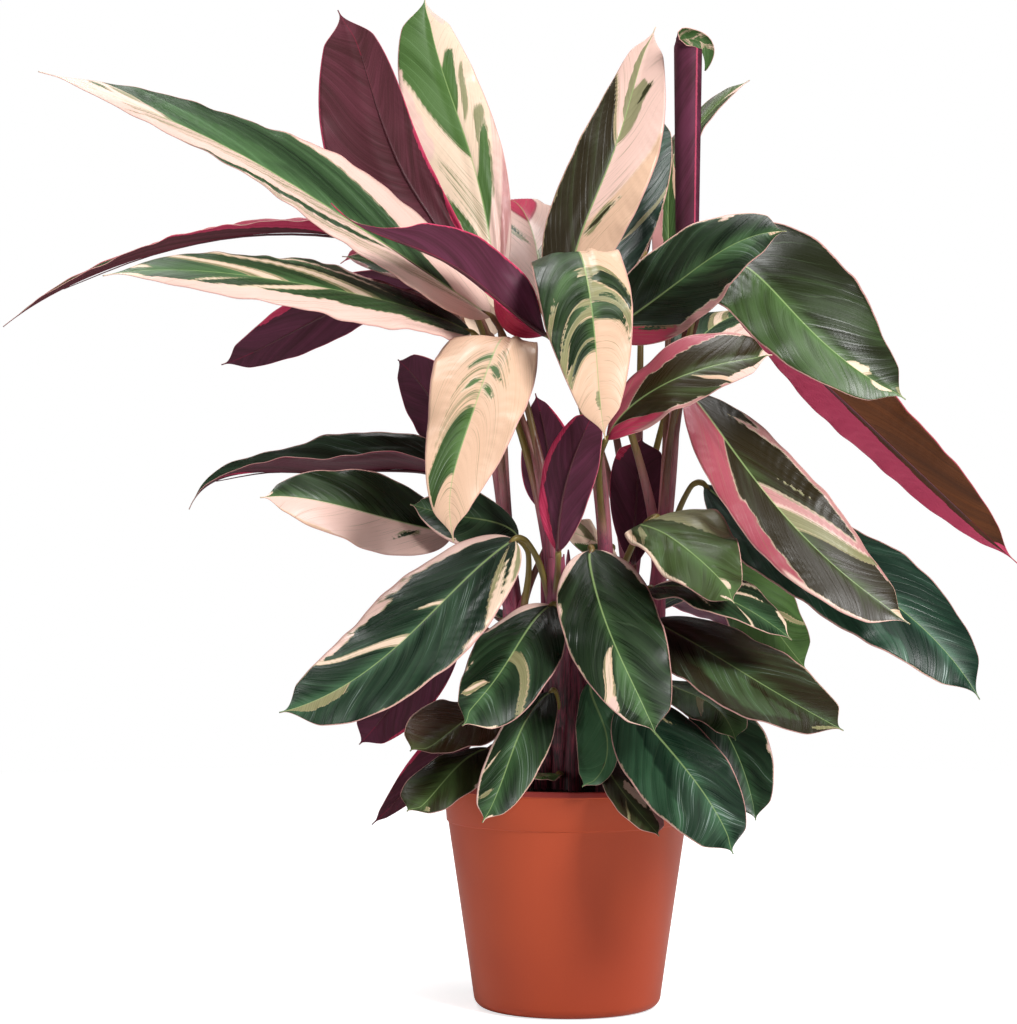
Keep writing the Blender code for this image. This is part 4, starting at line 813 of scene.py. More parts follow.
def grown(mesh, tree, values, name, finishes):
    """The plain mesh that a tree makes out of a guide mesh, as a piece."""
    guide = bpy.data.objects.new(name + "_guide", mesh)
    bpy.context.scene.collection.objects.link(guide)
    modifier = guide.modifiers.new("Grow", "NODES")
    modifier.node_group = tree
    for item in tree.interface.items_tree:
        if item.item_type == "SOCKET" and item.in_out == "INPUT" and item.name in values:
            modifier[item.identifier] = values[item.name]
    graph = bpy.context.evaluated_depsgraph_get()
    result = bpy.data.meshes.new_from_object(guide.evaluated_get(graph))
    result.name = name
    bpy.data.objects.remove(guide)
    result.materials.clear()
    return new_piece(name, result, finishes)


def stalk_tree():
    """Turns lines of points with a radius into smooth round stalks."""
    tree, entry, leave = tree_with("stalk_sweep", [
        ("Sides", "NodeSocketInt", STALK_SIDES),
        ("Smoothing", "NodeSocketInt", 4),
        ("Finish", "NodeSocketMaterial", None),
    ])
    lines = tree.nodes.new("GeometryNodeMeshToCurve")
    kind = tree.nodes.new("GeometryNodeCurveSplineType")
    kind.spline_type = "CATMULL_ROM"
    steps = tree.nodes.new("GeometryNodeSetSplineResolution")
    ring = tree.nodes.new("GeometryNodeCurvePrimitiveCircle")
    ring.inputs["Radius"].default_value = 1
    radius = tree.nodes.new("GeometryNodeInputNamedAttribute")
    radius.data_type = "FLOAT"
    radius.inputs["Name"].default_value = "stalk_radius"
    sweep = tree.nodes.new("GeometryNodeCurveToMesh")
    sweep.inputs["Fill Caps"].default_value = True
    soft = tree.nodes.new("GeometryNodeSetShadeSmooth")
    dress = tree.nodes.new("GeometryNodeSetMaterial")
    real = tree.nodes.new("GeometryNodeRealizeInstances")
    wired(tree,
          (entry, "Geometry", lines, "Mesh"), (lines, "Curve", kind, "Curve"),
          (kind, "Curve", steps, "Geometry"), (entry, "Smoothing", steps, "Resolution"),
          (steps, "Geometry", sweep, "Curve"), (entry, "Sides", ring, "Resolution"),
          (ring, "Curve", sweep, "Profile Curve"), (radius, "Attribute", sweep, "Scale"),
          (sweep, "Mesh", soft, "Geometry"), (soft, "Geometry", real, "Geometry"),
          (real, "Geometry", dress, "Geometry"), (entry, "Finish", dress, "Material"),
          (dress, "Geometry", leave, "Geometry"))
    return tree


def crumb_tree():
    """Scatters seeded crumbs over the soil's upper faces."""
    tree, entry, leave = tree_with("soil_crumbs", [
        ("Density", "NodeSocketFloat", CRUMB_DENSITY),
        ("Smallest", "NodeSocketFloat", CRUMB_SMALLEST),
        ("Largest", "NodeSocketFloat", CRUMB_LARGEST),
        ("Seed", "NodeSocketInt", CRUMB_SEED),
        ("Finish", "NodeSocketMaterial", None),
    ])
    scatter = tree.nodes.new("GeometryNodeDistributePointsOnFaces")
    ball = tree.nodes.new("GeometryNodeMeshIcoSphere")
    ball.inputs["Radius"].default_value = 1
    ball.inputs["Subdivisions"].default_value = 1
    place = tree.nodes.new("GeometryNodeInstanceOnPoints")
    turn = tree.nodes.new("FunctionNodeRandomValue")
    turn.data_type = "FLOAT_VECTOR"
    turn.inputs["Max"].default_value = (2 * pi, 2 * pi, 2 * pi)
    size = tree.nodes.new("FunctionNodeRandomValue")
    size.data_type = "FLOAT"
    shape = tree.nodes.new("FunctionNodeRandomValue")
    shape.data_type = "FLOAT_VECTOR"
    shape.inputs["Min"].default_value = (0.6, 0.5, 0.5)
    shape.inputs["Max"].default_value = (1.3, 1.0, 0.9)
    scale = tree.nodes.new("ShaderNodeVectorMath")
    scale.operation = "SCALE"
    real = tree.nodes.new("GeometryNodeRealizeInstances")
    dress = tree.nodes.new("GeometryNodeSetMaterial")
    wired(tree,
          (entry, "Geometry", scatter, "Mesh"), (entry, "Density", scatter, "Density"),
          (entry, "Seed", scatter, "Seed"), (entry, "Seed", turn, "Seed"), (entry, "Seed", size, "Seed"),
          (entry, "Seed", shape, "Seed"), (scatter, "Points", place, "Points"),
          (ball, "Mesh", place, "Instance"), (turn, "Value", place, "Rotation"),
          (entry, "Smallest", size, 2), (entry, "Largest", size, 3), (shape, 0, scale, 0),
          (size, 1, scale, "Scale"), (scale, 0, place, "Scale"), (place, "Instances", real, "Geometry"),
          (real, "Geometry", dress, "Geometry"), (entry, "Finish", dress, "Material"),
          (dress, "Geometry", leave, "Geometry"))
    return tree


# Stems

def stem_axis(stem, height):
    """Where a stem's axis is at a height in millimetres: straight down in the soil, leaning above it."""
    share = max(0, (height * MM - SOIL_TOP) / (stem.top[2] * MM - SOIL_TOP))
    foot, top = Vector((*stem.foot, 0)) * MM, Vector((*stem.top[:2], 0)) * MM
    place = foot.lerp(top, share)
    return Vector((place.x, place.y, height * MM))


def stem_radius(stem, height):
    """A stem's radius at a height in millimetres."""
    share = np.clip((height * MM - SOIL_TOP) / (stem.top[2] * MM - SOIL_TOP), 0, 1)
    return (stem.foot_radius * (1 - share) + stem.top_radius * share) * MM


def stalk_bezier(leaf, stem):
    """The four handles of a leaf stalk's curve: up out of its stem, then round into the rib's direction."""
    places, directions, _ = rib_curve(leaf.rib, [0])
    start, heading = Vector(places[0]), Vector(directions[0])
    root = stem_axis(stem, leaf.joins)
    reach = (start - root).length
    bend = start - heading * min(0.22 * reach, STALK_BEND * MM)
    rise = root + (stem_axis(stem, leaf.joins + 40) - root).normalized() * 0.45 * reach
    return root, rise, bend, start


def stalk_line(leaf, stem):
    """A leaf's sheath and stalk, as points with a radius and a share of sheath."""
    root, rise, bend, start = stalk_bezier(leaf, stem)
    away = Vector((start.x - root.x, start.y - root.y, 0)).normalized()
    line = []
    lowest = SOIL_TOP / MM - 6
    for back, thick, out in SHEATH_STEPS:
        height = max(lowest, leaf.joins - back * SHEATH_LENGTH)
        if line and height - line[-1][0].z / MM < 8:
            continue
        radius = stem_radius(stem, height)
        line.append((stem_axis(stem, height) + away * radius * out, radius * thick, 1))
    for t, thick, sheath in STALK_STEPS:
        place = (1 - t)**3 * root + 3 * (1 - t)**2 * t * rise + 3 * (1 - t) * t * t * bend + t**3 * start
        line.append((place, thick * MM, sheath))
    return line


def sheath_lines(stem, draw):
    """Old sheaths that wrap the foot of a stem, each with its top leaning away."""
    lines = []
    for k in range(SHEATHS_PER_STEM):
        angle = 2 * pi * (k + draw.uniform(0.2, 0.8)) / SHEATHS_PER_STEM
        away = Vector((cos(angle), sin(angle), 0))
        top = draw.uniform(70, 190)
        line = []
        for share, out, thick in OLD_SHEATH_STEPS:
            height = SOIL_TOP / MM - 8 + top * share
            radius = stem_radius(stem, height)
            line.append((stem_axis(stem, height) + away * radius * out, radius * thick, 1))
        lines.append(line)
    return lines


def clump_lines(draw):
    """Short canes and dead sheaths that fill the middle of the clump."""
    lines = []
    for k in range(CLUMP_CANES):
        turn, out = 2.4 * k, (draw.uniform(0.05, 1)) ** 0.5
        spread = Vector((CLUMP_REACH[0] * cos(turn), CLUMP_REACH[1] * sin(turn)))
        foot = Vector(CLUMP_MIDDLE) + spread * out
        height, radius = draw.uniform(60, 190), draw.uniform(5, 8.5)
        lean = Vector((draw.uniform(-14, 14), draw.uniform(-14, 14)))
        line = []
        for share, thick in CANE_STEPS:
            place = Vector((*(foot + lean * share), SOIL_TOP / MM - 10 + height * share))
            line.append((place * MM, radius * thick * MM, 1))
        lines.append(line)
    return lines


def rib_line(leaf):
    """The raised rib under a blade, which goes on from the stalk."""
    u, thick = np.array(RIB_STEPS).T
    _, _, upward, _, _ = blade_frame(leaf, u)
    places = blade_surface(leaf, u, np.array([0.0]), 0)[:, 0]
    return [(Vector(place - up * size), size, -1) for place, up, size in zip(places, upward, thick * MM)]


def stalk_piece(name, lines, draw, tree, finish):
    """Smooth round stalks from lines of points with a radius and a share of sheath."""
    places, edges, radii, sheath, tone = [], [], [], [], []
    for line in lines:
        first, shade = len(places), draw.uniform(0, 1)
        for k, (place, radius, wrapped) in enumerate(line):
            places.append(tuple(place))
            radii.append(radius)
            sheath.append(wrapped)
            tone.append(shade)
            if k:
                edges.append((first + k - 1, first + k))
    mesh = bpy.data.meshes.new(name + "_lines")
    mesh.from_pydata(places, edges, [])
    for label, values in (("stalk_radius", radii), ("sheath", sheath), ("tone", tone)):
        mesh.attributes.new(label, "FLOAT", "POINT").data.foreach_set("value", values)
    return grown(mesh, tree, {"Sides": STALK_SIDES, "Finish": finish}, name, [finish])


def make_stems(tree, finish):
    """Each clump's cane with the sheaths and stalks of its leaves, and the short canes between them."""
    draw = np.random.default_rng(STEM_SEED)
    for name, stem in STEMS.items():
        heights = np.linspace(SOIL_TOP / MM - 12, stem.top[2], 6)
        lines = [[(stem_axis(stem, height), stem_radius(stem, height) * 0.95, 1) for height in heights]]
        lines += sheath_lines(stem, draw)
        for leaf in LEAVES + [YOUNG_LEAF]:
            if leaf.stem == name:
                rib = [] if leaf is YOUNG_LEAF else rib_line(leaf)
                lines.append(stalk_line(leaf, stem) + rib)
        piece = stalk_piece(name + "_stalks", lines, draw, tree, finish)
        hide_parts(name)
    stalk_piece("clump_canes", clump_lines(draw), draw, tree, finish)


# Pot and soil

def round_corner(centre, radius, start, end, count):
    """Points on an arc of a profile, with angles in degrees."""
    angles = [radians(start + (end - start) * k / count) for k in range(count + 1)]
    return [(centre[0] + radius * cos(angle), centre[1] + radius * sin(angle)) for angle in angles]


def pot_radius(height):
    """The outer wall's radius below the collar."""
    share = height / (POT_HEIGHT - POT_COLLAR_DEPTH)
    return POT_FOOT_RADIUS + (POT_RIM_RADIUS - POT_COLLAR_STEP - POT_COLLAR_FLARE - POT_FOOT_RADIUS) * share


def turned_mesh(name, profile, sides):
    """A mesh turned round the pot's axis from a profile of (radius, height) that runs down its outer side."""
    radius = np.array([point[0] for point in profile])
    height = np.array([point[1] for point in profile])
    angle = np.linspace(0, 2 * pi, sides, endpoint=False)
    points = np.stack([radius[:, None] * np.cos(angle), radius[:, None] * np.sin(angle),
                       np.repeat(height[:, None], sides, axis=1)], axis=-1)
    faces = []
    for ring in range(len(profile) - 1):
        for k in range(sides):
            a, b = ring * sides + k, ring * sides + (k + 1) % sides
            faces.append((a, a + sides, b + sides, b))
    mesh = bpy.data.meshes.new(name)
    mesh.from_pydata(points.reshape(-1, 3).tolist(), [], faces)
    closed = bmesh.new()
    closed.from_mesh(mesh)
    bmesh.ops.remove_doubles(closed, verts=closed.verts, dist=0.001 * MM)
    closed.to_mesh(mesh)
    closed.free()
    return mesh


def drain_pins():
    """Round pins that stand where the pot's foot has its drainage holes."""
    pins = bmesh.new()
    for k in range(DRAIN_COUNT):
        angle = 2 * pi * (k + 0.28) / DRAIN_COUNT
        place = Matrix.Translation((DRAIN_RING * cos(angle), DRAIN_RING * sin(angle), POT_FLOOR / 2))
        bmesh.ops.create_cone(pins, cap_ends=True, segments=32, radius1=DRAIN_RADIUS, radius2=DRAIN_RADIUS,
                              depth=3 * POT_FLOOR, matrix=place)
    mesh = bpy.data.meshes.new("drain_pins")
    pins.to_mesh(mesh)
    pins.free()
    return mesh


def bored(mesh, pins):
    """A closed mesh with holes where the pins stand."""
    solid, tool = bpy.data.objects.new("bored_guide", mesh), bpy.data.objects.new("pins_guide", pins)
    for helper in (solid, tool):
        bpy.context.scene.collection.objects.link(helper)
    holes = solid.modifiers.new("Holes", "BOOLEAN")
    holes.operation = "DIFFERENCE"
    holes.solver = "EXACT"
    holes.object = tool
    graph = bpy.context.evaluated_depsgraph_get()
    result = bpy.data.meshes.new_from_object(solid.evaluated_get(graph))
    for helper in (solid, tool):
        bpy.data.objects.remove(helper)
    return result


def make_pot(finish):
    """The nursery pot: a thin tapering wall with a collar and a rounded lip, on a foot with drains."""
    collar = POT_HEIGHT - POT_COLLAR_DEPTH
    foot = round_corner((POT_FOOT_RADIUS - POT_FOOT_ROUND * 0.85, POT_FOOT_ROUND), POT_FOOT_ROUND, -8, -90, 8)
    lip = round_corner((POT_RIM_RADIUS - POT_LIP / 2, POT_HEIGHT - POT_LIP / 2), POT_LIP / 2, 180, 0, 8)
    outer_lip = POT_HEIGHT - 4.5 * MM
    profile = [
        (0, POT_FLOOR),
        (pot_radius(POT_FLOOR) - POT_WALL - 2 * MM, POT_FLOOR),
        (pot_radius(collar) - POT_WALL, collar),
        *lip,
        (POT_RIM_RADIUS, outer_lip),
        (POT_RIM_RADIUS - 0.6 * MM, outer_lip - 0.7 * MM),
        (pot_radius(collar) + POT_COLLAR_STEP, collar + 0.3 * MM),
        (pot_radius(collar) + POT_COLLAR_STEP - 0.4 * MM, collar - 0.2 * MM),
        (pot_radius(collar), collar - POT_COLLAR_STEP * 0.7),
        (pot_radius(collar - 2 * MM), collar - 2 * MM),
        (pot_radius(30 * MM), 30 * MM),
        *foot,
        (0, 0),
    ]
    mesh = bored(turned_mesh("pot_turned", profile, POT_SIDES), drain_pins())
    mesh.name = "pot_shell"
    piece = new_piece("pot_shell", mesh, [finish])
    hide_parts("pot")
    mesh.shade_smooth()
    mesh.set_sharp_from_angle(angle=radians(35))
    return piece


def make_soil(tree, finish):
    """The potting mix with its loose crumbs."""
    edge = POT_HEIGHT - SOIL_EDGE_DROP
    brim = pot_radius(edge - POT_COLLAR_STEP) - POT_WALL - 0.4 * MM
    shares = np.linspace(0.02, 0.985, 28)
    rings = [(brim * share, SOIL_TOP - SOIL_MOUND * smooth(share)) for share in shares]
    sunk = POT_HEIGHT / 2
    wall = pot_radius(sunk) - POT_WALL - 0.4 * MM
    mesh = turned_mesh("soil_mound", [(0, SOIL_TOP), *rings, (wall, sunk), (0, sunk)], 96)
    piece = new_piece("soil_mound", mesh, [finish])
    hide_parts("soil")
    mesh.shade_smooth()
    guide = turned_mesh("crumb_guide", rings, 48)
    grown(guide, tree, {"Finish": finish}, "soil_crumbs", [finish])


# Finishes

DARK_GREEN = (0.007, 0.013, 0.004)
LIGHT_GREEN = (0.07, 0.14, 0.036)
DARK_TEAL = (0.005, 0.018, 0.011)
LIGHT_TEAL = (0.05, 0.145, 0.085)
VEIN_GREEN = (0.22, 0.34, 0.17)
GLINT = (0.4, 0.48, 0.45)
SAGE = (0.19, 0.215, 0.09)
OLIVE = (0.11, 0.135, 0.045)
CREAM = (0.74, 0.56, 0.42)
PEACH = (0.64, 0.42, 0.29)
BLUSH = (0.72, 0.49, 0.42)
ROSE = (0.34, 0.065, 0.09)
HOT_PINK = (0.46, 0.035, 0.085)
RIB_GREEN = (0.3, 0.42, 0.16)
EDGE_PINK = (0.64, 0.34, 0.3)
MAROON = (0.05, 0.012, 0.02)
PURPLE = (0.112, 0.024, 0.052)
BROWN = (0.07, 0.026, 0.012)
RUST = (0.13, 0.042, 0.014)
CRIMSON = (0.32, 0.01, 0.045)
RIB_MAROON = (0.07, 0.014, 0.02)
UNDER_PINK = (0.62, 0.07, 0.15)
STALK_GOLD = (0.2, 0.15, 0.035)
STALK_BROWN = (0.13, 0.045, 0.028)
SHEATH_PINK = (0.26, 0.07, 0.11)
SHEATH_DARK = (0.035, 0.011, 0.012)
POT_CLAY = (0.46, 0.072, 0.026)
POT_DARK_RED = (0.26, 0.035, 0.028)
SOIL_DARK = (0.009, 0.006, 0.004)
SOIL_BROWN = (0.035, 0.021, 0.013)


def finish_named(name):
    """A new material with its tree and shader."""
    made = bpy.data.materials.new(name)
    made.use_nodes = True
    return made, made.node_tree, made.node_tree.nodes["Principled BSDF"]


def group_named(name, inputs, outputs):
    """A shader node group with its two end nodes."""
    group = bpy.data.node_groups.new(name, "ShaderNodeTree")
    for label in inputs:
        group.interface.new_socket(label, in_out="INPUT", socket_type="NodeSocketFloat")
    for label, kind in outputs:
        group.interface.new_socket(label, in_out="OUTPUT", socket_type=kind)
    return group, group.nodes.new("NodeGroupInput"), group.nodes.new("NodeGroupOutput")


def fed(tree, target, entry, value):
    """Links a socket to an input, or sets the input to a number or colour."""
    if isinstance(value, bpy.types.NodeSocket):
        tree.links.new(value, target.inputs[entry])
    elif isinstance(value, tuple) and len(value) == 3 and target.inputs[entry].type == "RGBA":
        target.inputs[entry].default_value = (*value, 1)
    else:
        target.inputs[entry].default_value = value


def maths(tree, operation, *values):
    """A Math node's result."""
    node = tree.nodes.new("ShaderNodeMath")
    node.operation = operation
    for entry, value in enumerate(values):
        fed(tree, node, entry, value)
    return node.outputs[0]


def times(tree, first, second):
    """Two values multiplied."""
    return maths(tree, "MULTIPLY", first, second)


def scaled(tree, value, factor, added):
    """A value multiplied by a factor and added to another."""
    return maths(tree, "MULTIPLY_ADD", value, factor, added)


def centred(tree, value):
    """A value from 0 to 1, moved to lie about 0."""
    return maths(tree, "SUBTRACT", value, 0.5)


def ramped(tree, value, low, high, first=0, last=1):
    """A value eased from first to last between low and high."""
    node = tree.nodes.new("ShaderNodeMapRange")
    node.interpolation_type = "SMOOTHSTEP"
    fed(tree, node, "Value", value)
    for label, number in (("From Min", low), ("From Max", high), ("To Min", first), ("To Max", last)):
        node.inputs[label].default_value = number
    return node.outputs["Result"]


def mixed(tree, factor, first, second):
    """Two colours mixed by a factor."""
    node = tree.nodes.new("ShaderNodeMix")
    node.data_type = "RGBA"
    fed(tree, node, 0, factor)
    fed(tree, node, 6, first)
    fed(tree, node, 7, second)
    return node.outputs[2]


def noise(tree, vector, scale, detail=2, roughness=0.5):
    """A Noise Texture's value."""
    node = tree.nodes.new("ShaderNodeTexNoise")
    fed(tree, node, "Vector", vector)
    node.inputs["Scale"].default_value = scale
    node.inputs["Detail"].default_value = detail
    node.inputs["Roughness"].default_value = roughness
    return node.outputs["Fac"]


def stretched(tree, x, y, z, scale):
    """A vector from three values, each with its own scale."""
    node = tree.nodes.new("ShaderNodeCombineXYZ")
    for entry, value in enumerate((x, y, z)):
        fed(tree, node, entry, times(tree, value, float(scale[entry])))
    return node.outputs[0]


def attribute(tree, name):
    """A colour attribute's four numbers."""
    node = tree.nodes.new("ShaderNodeAttribute")
    node.attribute_name = name
    parts = tree.nodes.new("ShaderNodeSeparateColor")
    tree.links.new(node.outputs["Color"], parts.inputs[0])
    return parts.outputs[0], parts.outputs[1], parts.outputs[2], node.outputs["Alpha"]


def uv_parts(tree, name):
    """A UV map's two numbers."""
    node = tree.nodes.new("ShaderNodeUVMap")
    node.uv_map = name
    parts = tree.nodes.new("ShaderNodeSeparateXYZ")
    tree.links.new(node.outputs[0], parts.inputs[0])
    return parts.outputs[0], parts.outputs[1]


def leaf_markings():
    """What a blade's two faces share: colour masks, feathered along the side veins, and its relief."""
    masks = ["Green", "Sage", "Pink", "Light", "Rib", "Glow", "Edge", "Streaks", "Relief", "Patches",
             "Bands", "Veins"]
    group, _, leave = group_named("leaf_markings", [], [(mask, "NodeSocketFloat") for mask in masks])
    green, sage, pink, light = attribute(group, "paint")
    _, _, seed, _ = attribute(group, "tone")
    along, across = uv_parts(group, "veins")
    share, cross = uv_parts(group, "blade")
    feather = noise(group, stretched(group, along, across, seed, (420, 50, 100)), 1, 3, 0.6)
    streaks = noise(group, stretched(group, along, across, seed, (700, 40, 170)), 1, 3, 0.55)
    patches = noise(group, stretched(group, along, across, seed, (34, 22, 50)), 1, 2, 0.5)
    shift = noise(group, stretched(group, along, across, seed, (19, 16, 90)), 1, 1, 0.5)
    shaken = scaled(group, centred(group, feather), 1.5, green)
    green_mask = ramped(group, shaken, 0.42, 0.56)
    halo_noise = centred(group, streaks)
    halo = ramped(group, scaled(group, halo_noise, 1.6, green), 0.1, 0.4)
    sage_mask = ramped(group, scaled(group, halo_noise, 1.9, sage), 0.3, 0.75)
    sage_all = maths(group, "MAXIMUM", sage_mask, times(group, halo, 0.8))
    from_rib = maths(group, "ABSOLUTE", across)
    to_tip = maths(group, "SUBTRACT", 1.0, share)
    rib_half = scaled(group, to_tip, 0.0008, 0.00025)
    rib = ramped(group, maths(group, "DIVIDE", from_rib, rib_half), 1.3, 0.5)
    reach = scaled(group, streaks, 0.018, 0.001)
    glow = ramped(group, maths(group, "DIVIDE", from_rib, reach), 1.0, 0.0)
    glow = times(group, glow, ramped(group, share, 0.1, 0.7, 0.25, 1))
    from_middle = times(group, maths(group, "ABSOLUTE", centred(group, cross)), 2.0)
    uneven = scaled(group, centred(group, feather), 0.03, from_middle)
    edge = ramped(group, uneven, 0.968, 0.988)
    # Bands rise from one side vein to the next: the pleats' relief, and also painted light and shade across
    # each pleat in the faces' colours.
    order = scaled(group, centred(group, shift), 3.0, times(group, along, 58.0))
    step = maths(group, "FRACT", order)
    bands = times(group, ramped(group, step, 0, 0.9), ramped(group, step, 1.0, 0.9))
    near = times(group, maths(group, "ABSOLUTE", centred(group, step)), 2.0)
    inner = times(group, ramped(group, from_middle, 0.98, 0.6), ramped(group, patches, 0.3, 0.6, 0.3, 1))
    veins = times(group, ramped(group, near, 0.92, 1.0), inner)
    grain = times(group, streaks, 0.45)
    relief = scaled(group, bands, 0.35, grain)
    values = [green_mask, sage_all, pink, light, rib, glow, edge, streaks, relief, patches, bands, veins]
    for label, value in zip(masks, values):
        fed(group, leave, label, value)
    return group


def placed(tree, group):
    """A node that uses a group."""
    node = tree.nodes.new("ShaderNodeGroup")
    node.node_tree = group
    return node.outputs


def relief_on(tree, shader, height, distance, strength):
    """Bump on a shader's normal."""
    bump = tree.nodes.new("ShaderNodeBump")
    bump.inputs["Strength"].default_value = strength
    bump.inputs["Distance"].default_value = distance
    fed(tree, bump, "Height", height)
    tree.links.new(bump.outputs[0], shader.inputs["Normal"])


def leaf_upper(markings):
    """The waxy upper face: green, sage, cream and pink stripes, a pale rib, a thin pink edge, and painted
    shade and glints.
    """
    made, tree, shader = finish_named("leaf_upper")
    marks = placed(tree, markings)
    light, blue, _, warm = attribute(tree, "tone")
    share, _ = uv_parts(tree, "blade")
    shade = scaled(tree, centred(tree, marks["Patches"]), 0.9, light)
    shade = scaled(tree, marks["Light"], 0.2, shade)
    # Painted light and shade of the pleats: the green lightens from one side vein towards the next.
    shade = scaled(tree, centred(tree, marks["Bands"]), 0.1, shade)
    shade = scaled(tree, centred(tree, marks["Streaks"]), 0.14, shade)
    # Painted shade: the green darkens towards the blade's base, where the leaves above shade it.
    shade = maths(tree, "ADD", shade, ramped(tree, share, 0.0, 0.45, -0.22, 0))
    shade = scaled(tree, marks["Glow"], 0.35, shade)
    shade = ramped(tree, shade, 0.0, 1.0)
    leaf_green = mixed(tree, shade, DARK_GREEN, LIGHT_GREEN)
    teal = mixed(tree, shade, DARK_TEAL, LIGHT_TEAL)
    green = mixed(tree, blue, leaf_green, teal)
    green = mixed(tree, times(tree, warm, 0.7), green, mixed(tree, shade, BROWN, OLIVE))
    streaky = ramped(tree, marks["Streaks"], 0.55, 0.68)
    glint = times(tree, streaky, ramped(tree, marks["Patches"], 0.55, 0.66))
    green = mixed(tree, times(tree, glint, times(tree, blue, 0.8)), green, GLINT)
    clear = times(tree, marks["Veins"], ramped(tree, light, 0.05, 0.3, 0.02, 0.16))
    green = mixed(tree, clear, green, VEIN_GREEN)
    pale = mixed(tree, ramped(tree, marks["Light"], 0.0, 0.5), PEACH, CREAM)
    pale = mixed(tree, ramped(tree, marks["Pink"], 0.1, 0.4), pale, BLUSH)
    pale = mixed(tree, ramped(tree, marks["Pink"], 0.4, 0.78), pale, ROSE)
    pale = mixed(tree, ramped(tree, marks["Pink"], 0.78, 1.0), pale, HOT_PINK)
    pale = mixed(tree, ramped(tree, marks["Streaks"], 0.5, 0.8, 0, 0.2), pale, EDGE_PINK)
    sage = mixed(tree, ramped(tree, marks["Streaks"], 0.35, 0.65), SAGE, OLIVE)
    colour = mixed(tree, times(tree, marks["Sage"], 0.85), pale, sage)
    colour = mixed(tree, marks["Green"], colour, green)
    colour = mixed(tree, times(tree, marks["Rib"], 0.55), colour, RIB_GREEN)
    colour = mixed(tree, times(tree, marks["Edge"], 0.85), colour, EDGE_PINK)
    fed(tree, shader, "Base Color", colour)
    waxy = scaled(tree, marks["Patches"], 0.5, times(tree, marks["Streaks"], 0.5))
    fed(tree, shader, "Roughness", ramped(tree, waxy, 0.38, 0.62, 0.26, 0.5))
    shader.inputs["Specular IOR Level"].default_value = 0.25
    height = times(tree, marks["Relief"], ramped(tree, marks["Green"], 0, 1, 0.35, 1))
    relief_on(tree, shader, height, 0.0008, 0.38)
    return made


def leaf_under(markings):
    """The purple underside: maroon below green, and pink below the pale parts."""
    made, tree, shader = finish_named("leaf_under")
    marks = placed(tree, markings)
    _, _, _, warm = attribute(tree, "tone")
    dark = mixed(tree, warm, MAROON, BROWN)
    bright = mixed(tree, warm, PURPLE, RUST)
    tone = scaled(tree, centred(tree, marks["Patches"]), 1.6, 0.5)
    tone = scaled(tree, centred(tree, marks["Streaks"]), 0.9, tone)
    # Painted light and shade of the pleats on the underside.
    tone = scaled(tree, centred(tree, marks["Bands"]), 0.12, tone)
    maroon = mixed(tree, ramped(tree, tone, 0.0, 1.0), dark, bright)
    pale = mixed(tree, ramped(tree, marks["Streaks"], 0.3, 0.7, 0, 0.7), CRIMSON, UNDER_PINK)
    pale = mixed(tree, ramped(tree, marks["Light"], 0.6, 1.2), pale, UNDER_PINK)
    colour = mixed(tree, marks["Green"], pale, maroon)
    colour = mixed(tree, times(tree, marks["Rib"], 0.35), colour, CRIMSON)
    colour = mixed(tree, times(tree, marks["Edge"], 0.7), colour, UNDER_PINK)
    fed(tree, shader, "Base Color", colour)
    fed(tree, shader, "Roughness", ramped(tree, marks["Streaks"], 0.3, 0.7, 0.42, 0.58))
    shader.inputs["Specular IOR Level"].default_value = 0.15
    relief_on(tree, shader, marks["Relief"], 0.0008, 0.22)
    return made


def own_value(tree, name):
    """One of a stalk's own numbers."""
    node = tree.nodes.new("ShaderNodeAttribute")
    node.attribute_name = name
    return node.outputs["Fac"]


def object_parts(tree):
    """The place on an object, as a vector and as its three numbers."""
    node = tree.nodes.new("ShaderNodeTexCoord")
    parts = tree.nodes.new("ShaderNodeSeparateXYZ")
    tree.links.new(node.outputs["Object"], parts.inputs[0])
    return node.outputs["Object"], parts.outputs[0], parts.outputs[1], parts.outputs[2]


def stem_bark():
    """Glossy stalks from gold to purple-brown, in sheaths that are pink above and dark near the soil."""
    made, tree, shader = finish_named("stem_bark")
    sheath, tone = own_value(tree, "sheath"), own_value(tree, "tone")
    _, x, y, height = object_parts(tree)
    lines = noise(tree, stretched(tree, x, y, height, (900, 900, 14)), 1, 3, 0.6)
    blotches = noise(tree, stretched(tree, x, y, height, (60, 60, 22)), 1, 2, 0.5)
    golden = ramped(tree, maths(tree, "ADD", tone, centred(tree, blotches)), 0.2, 0.8)
    stalk = mixed(tree, golden, STALK_BROWN, STALK_GOLD)
    level = scaled(tree, centred(tree, blotches), 0.16, height)
    wrap = mixed(tree, ramped(tree, level, 0.2, 0.33), SHEATH_DARK, SHEATH_PINK)
    wrap = mixed(tree, ramped(tree, level, 0.35, 0.42, 0, 0.5), wrap, EDGE_PINK)
    wrap = mixed(tree, ramped(tree, lines, 0.4, 0.7, 0, 0.35), wrap, UNDER_PINK)
    wrap = mixed(tree, ramped(tree, lines, 0.45, 0.25, 0, 0.7), wrap, SHEATH_DARK)
    colour = mixed(tree, ramped(tree, sheath, 0.1, 0.7), stalk, wrap)
    colour = mixed(tree, ramped(tree, lines, 0.6, 0.8, 0, 0.35), colour, STALK_GOLD)
    colour = mixed(tree, ramped(tree, sheath, -0.9, -0.2), RIB_MAROON, colour)
    fed(tree, shader, "Base Color", colour)
    fed(tree, shader, "Roughness", ramped(tree, lines, 0.3, 0.7, 0.3, 0.5))
    shader.inputs["Specular IOR Level"].default_value = 0.4
    relief_on(tree, shader, lines, 0.0006, 0.35)
    return made


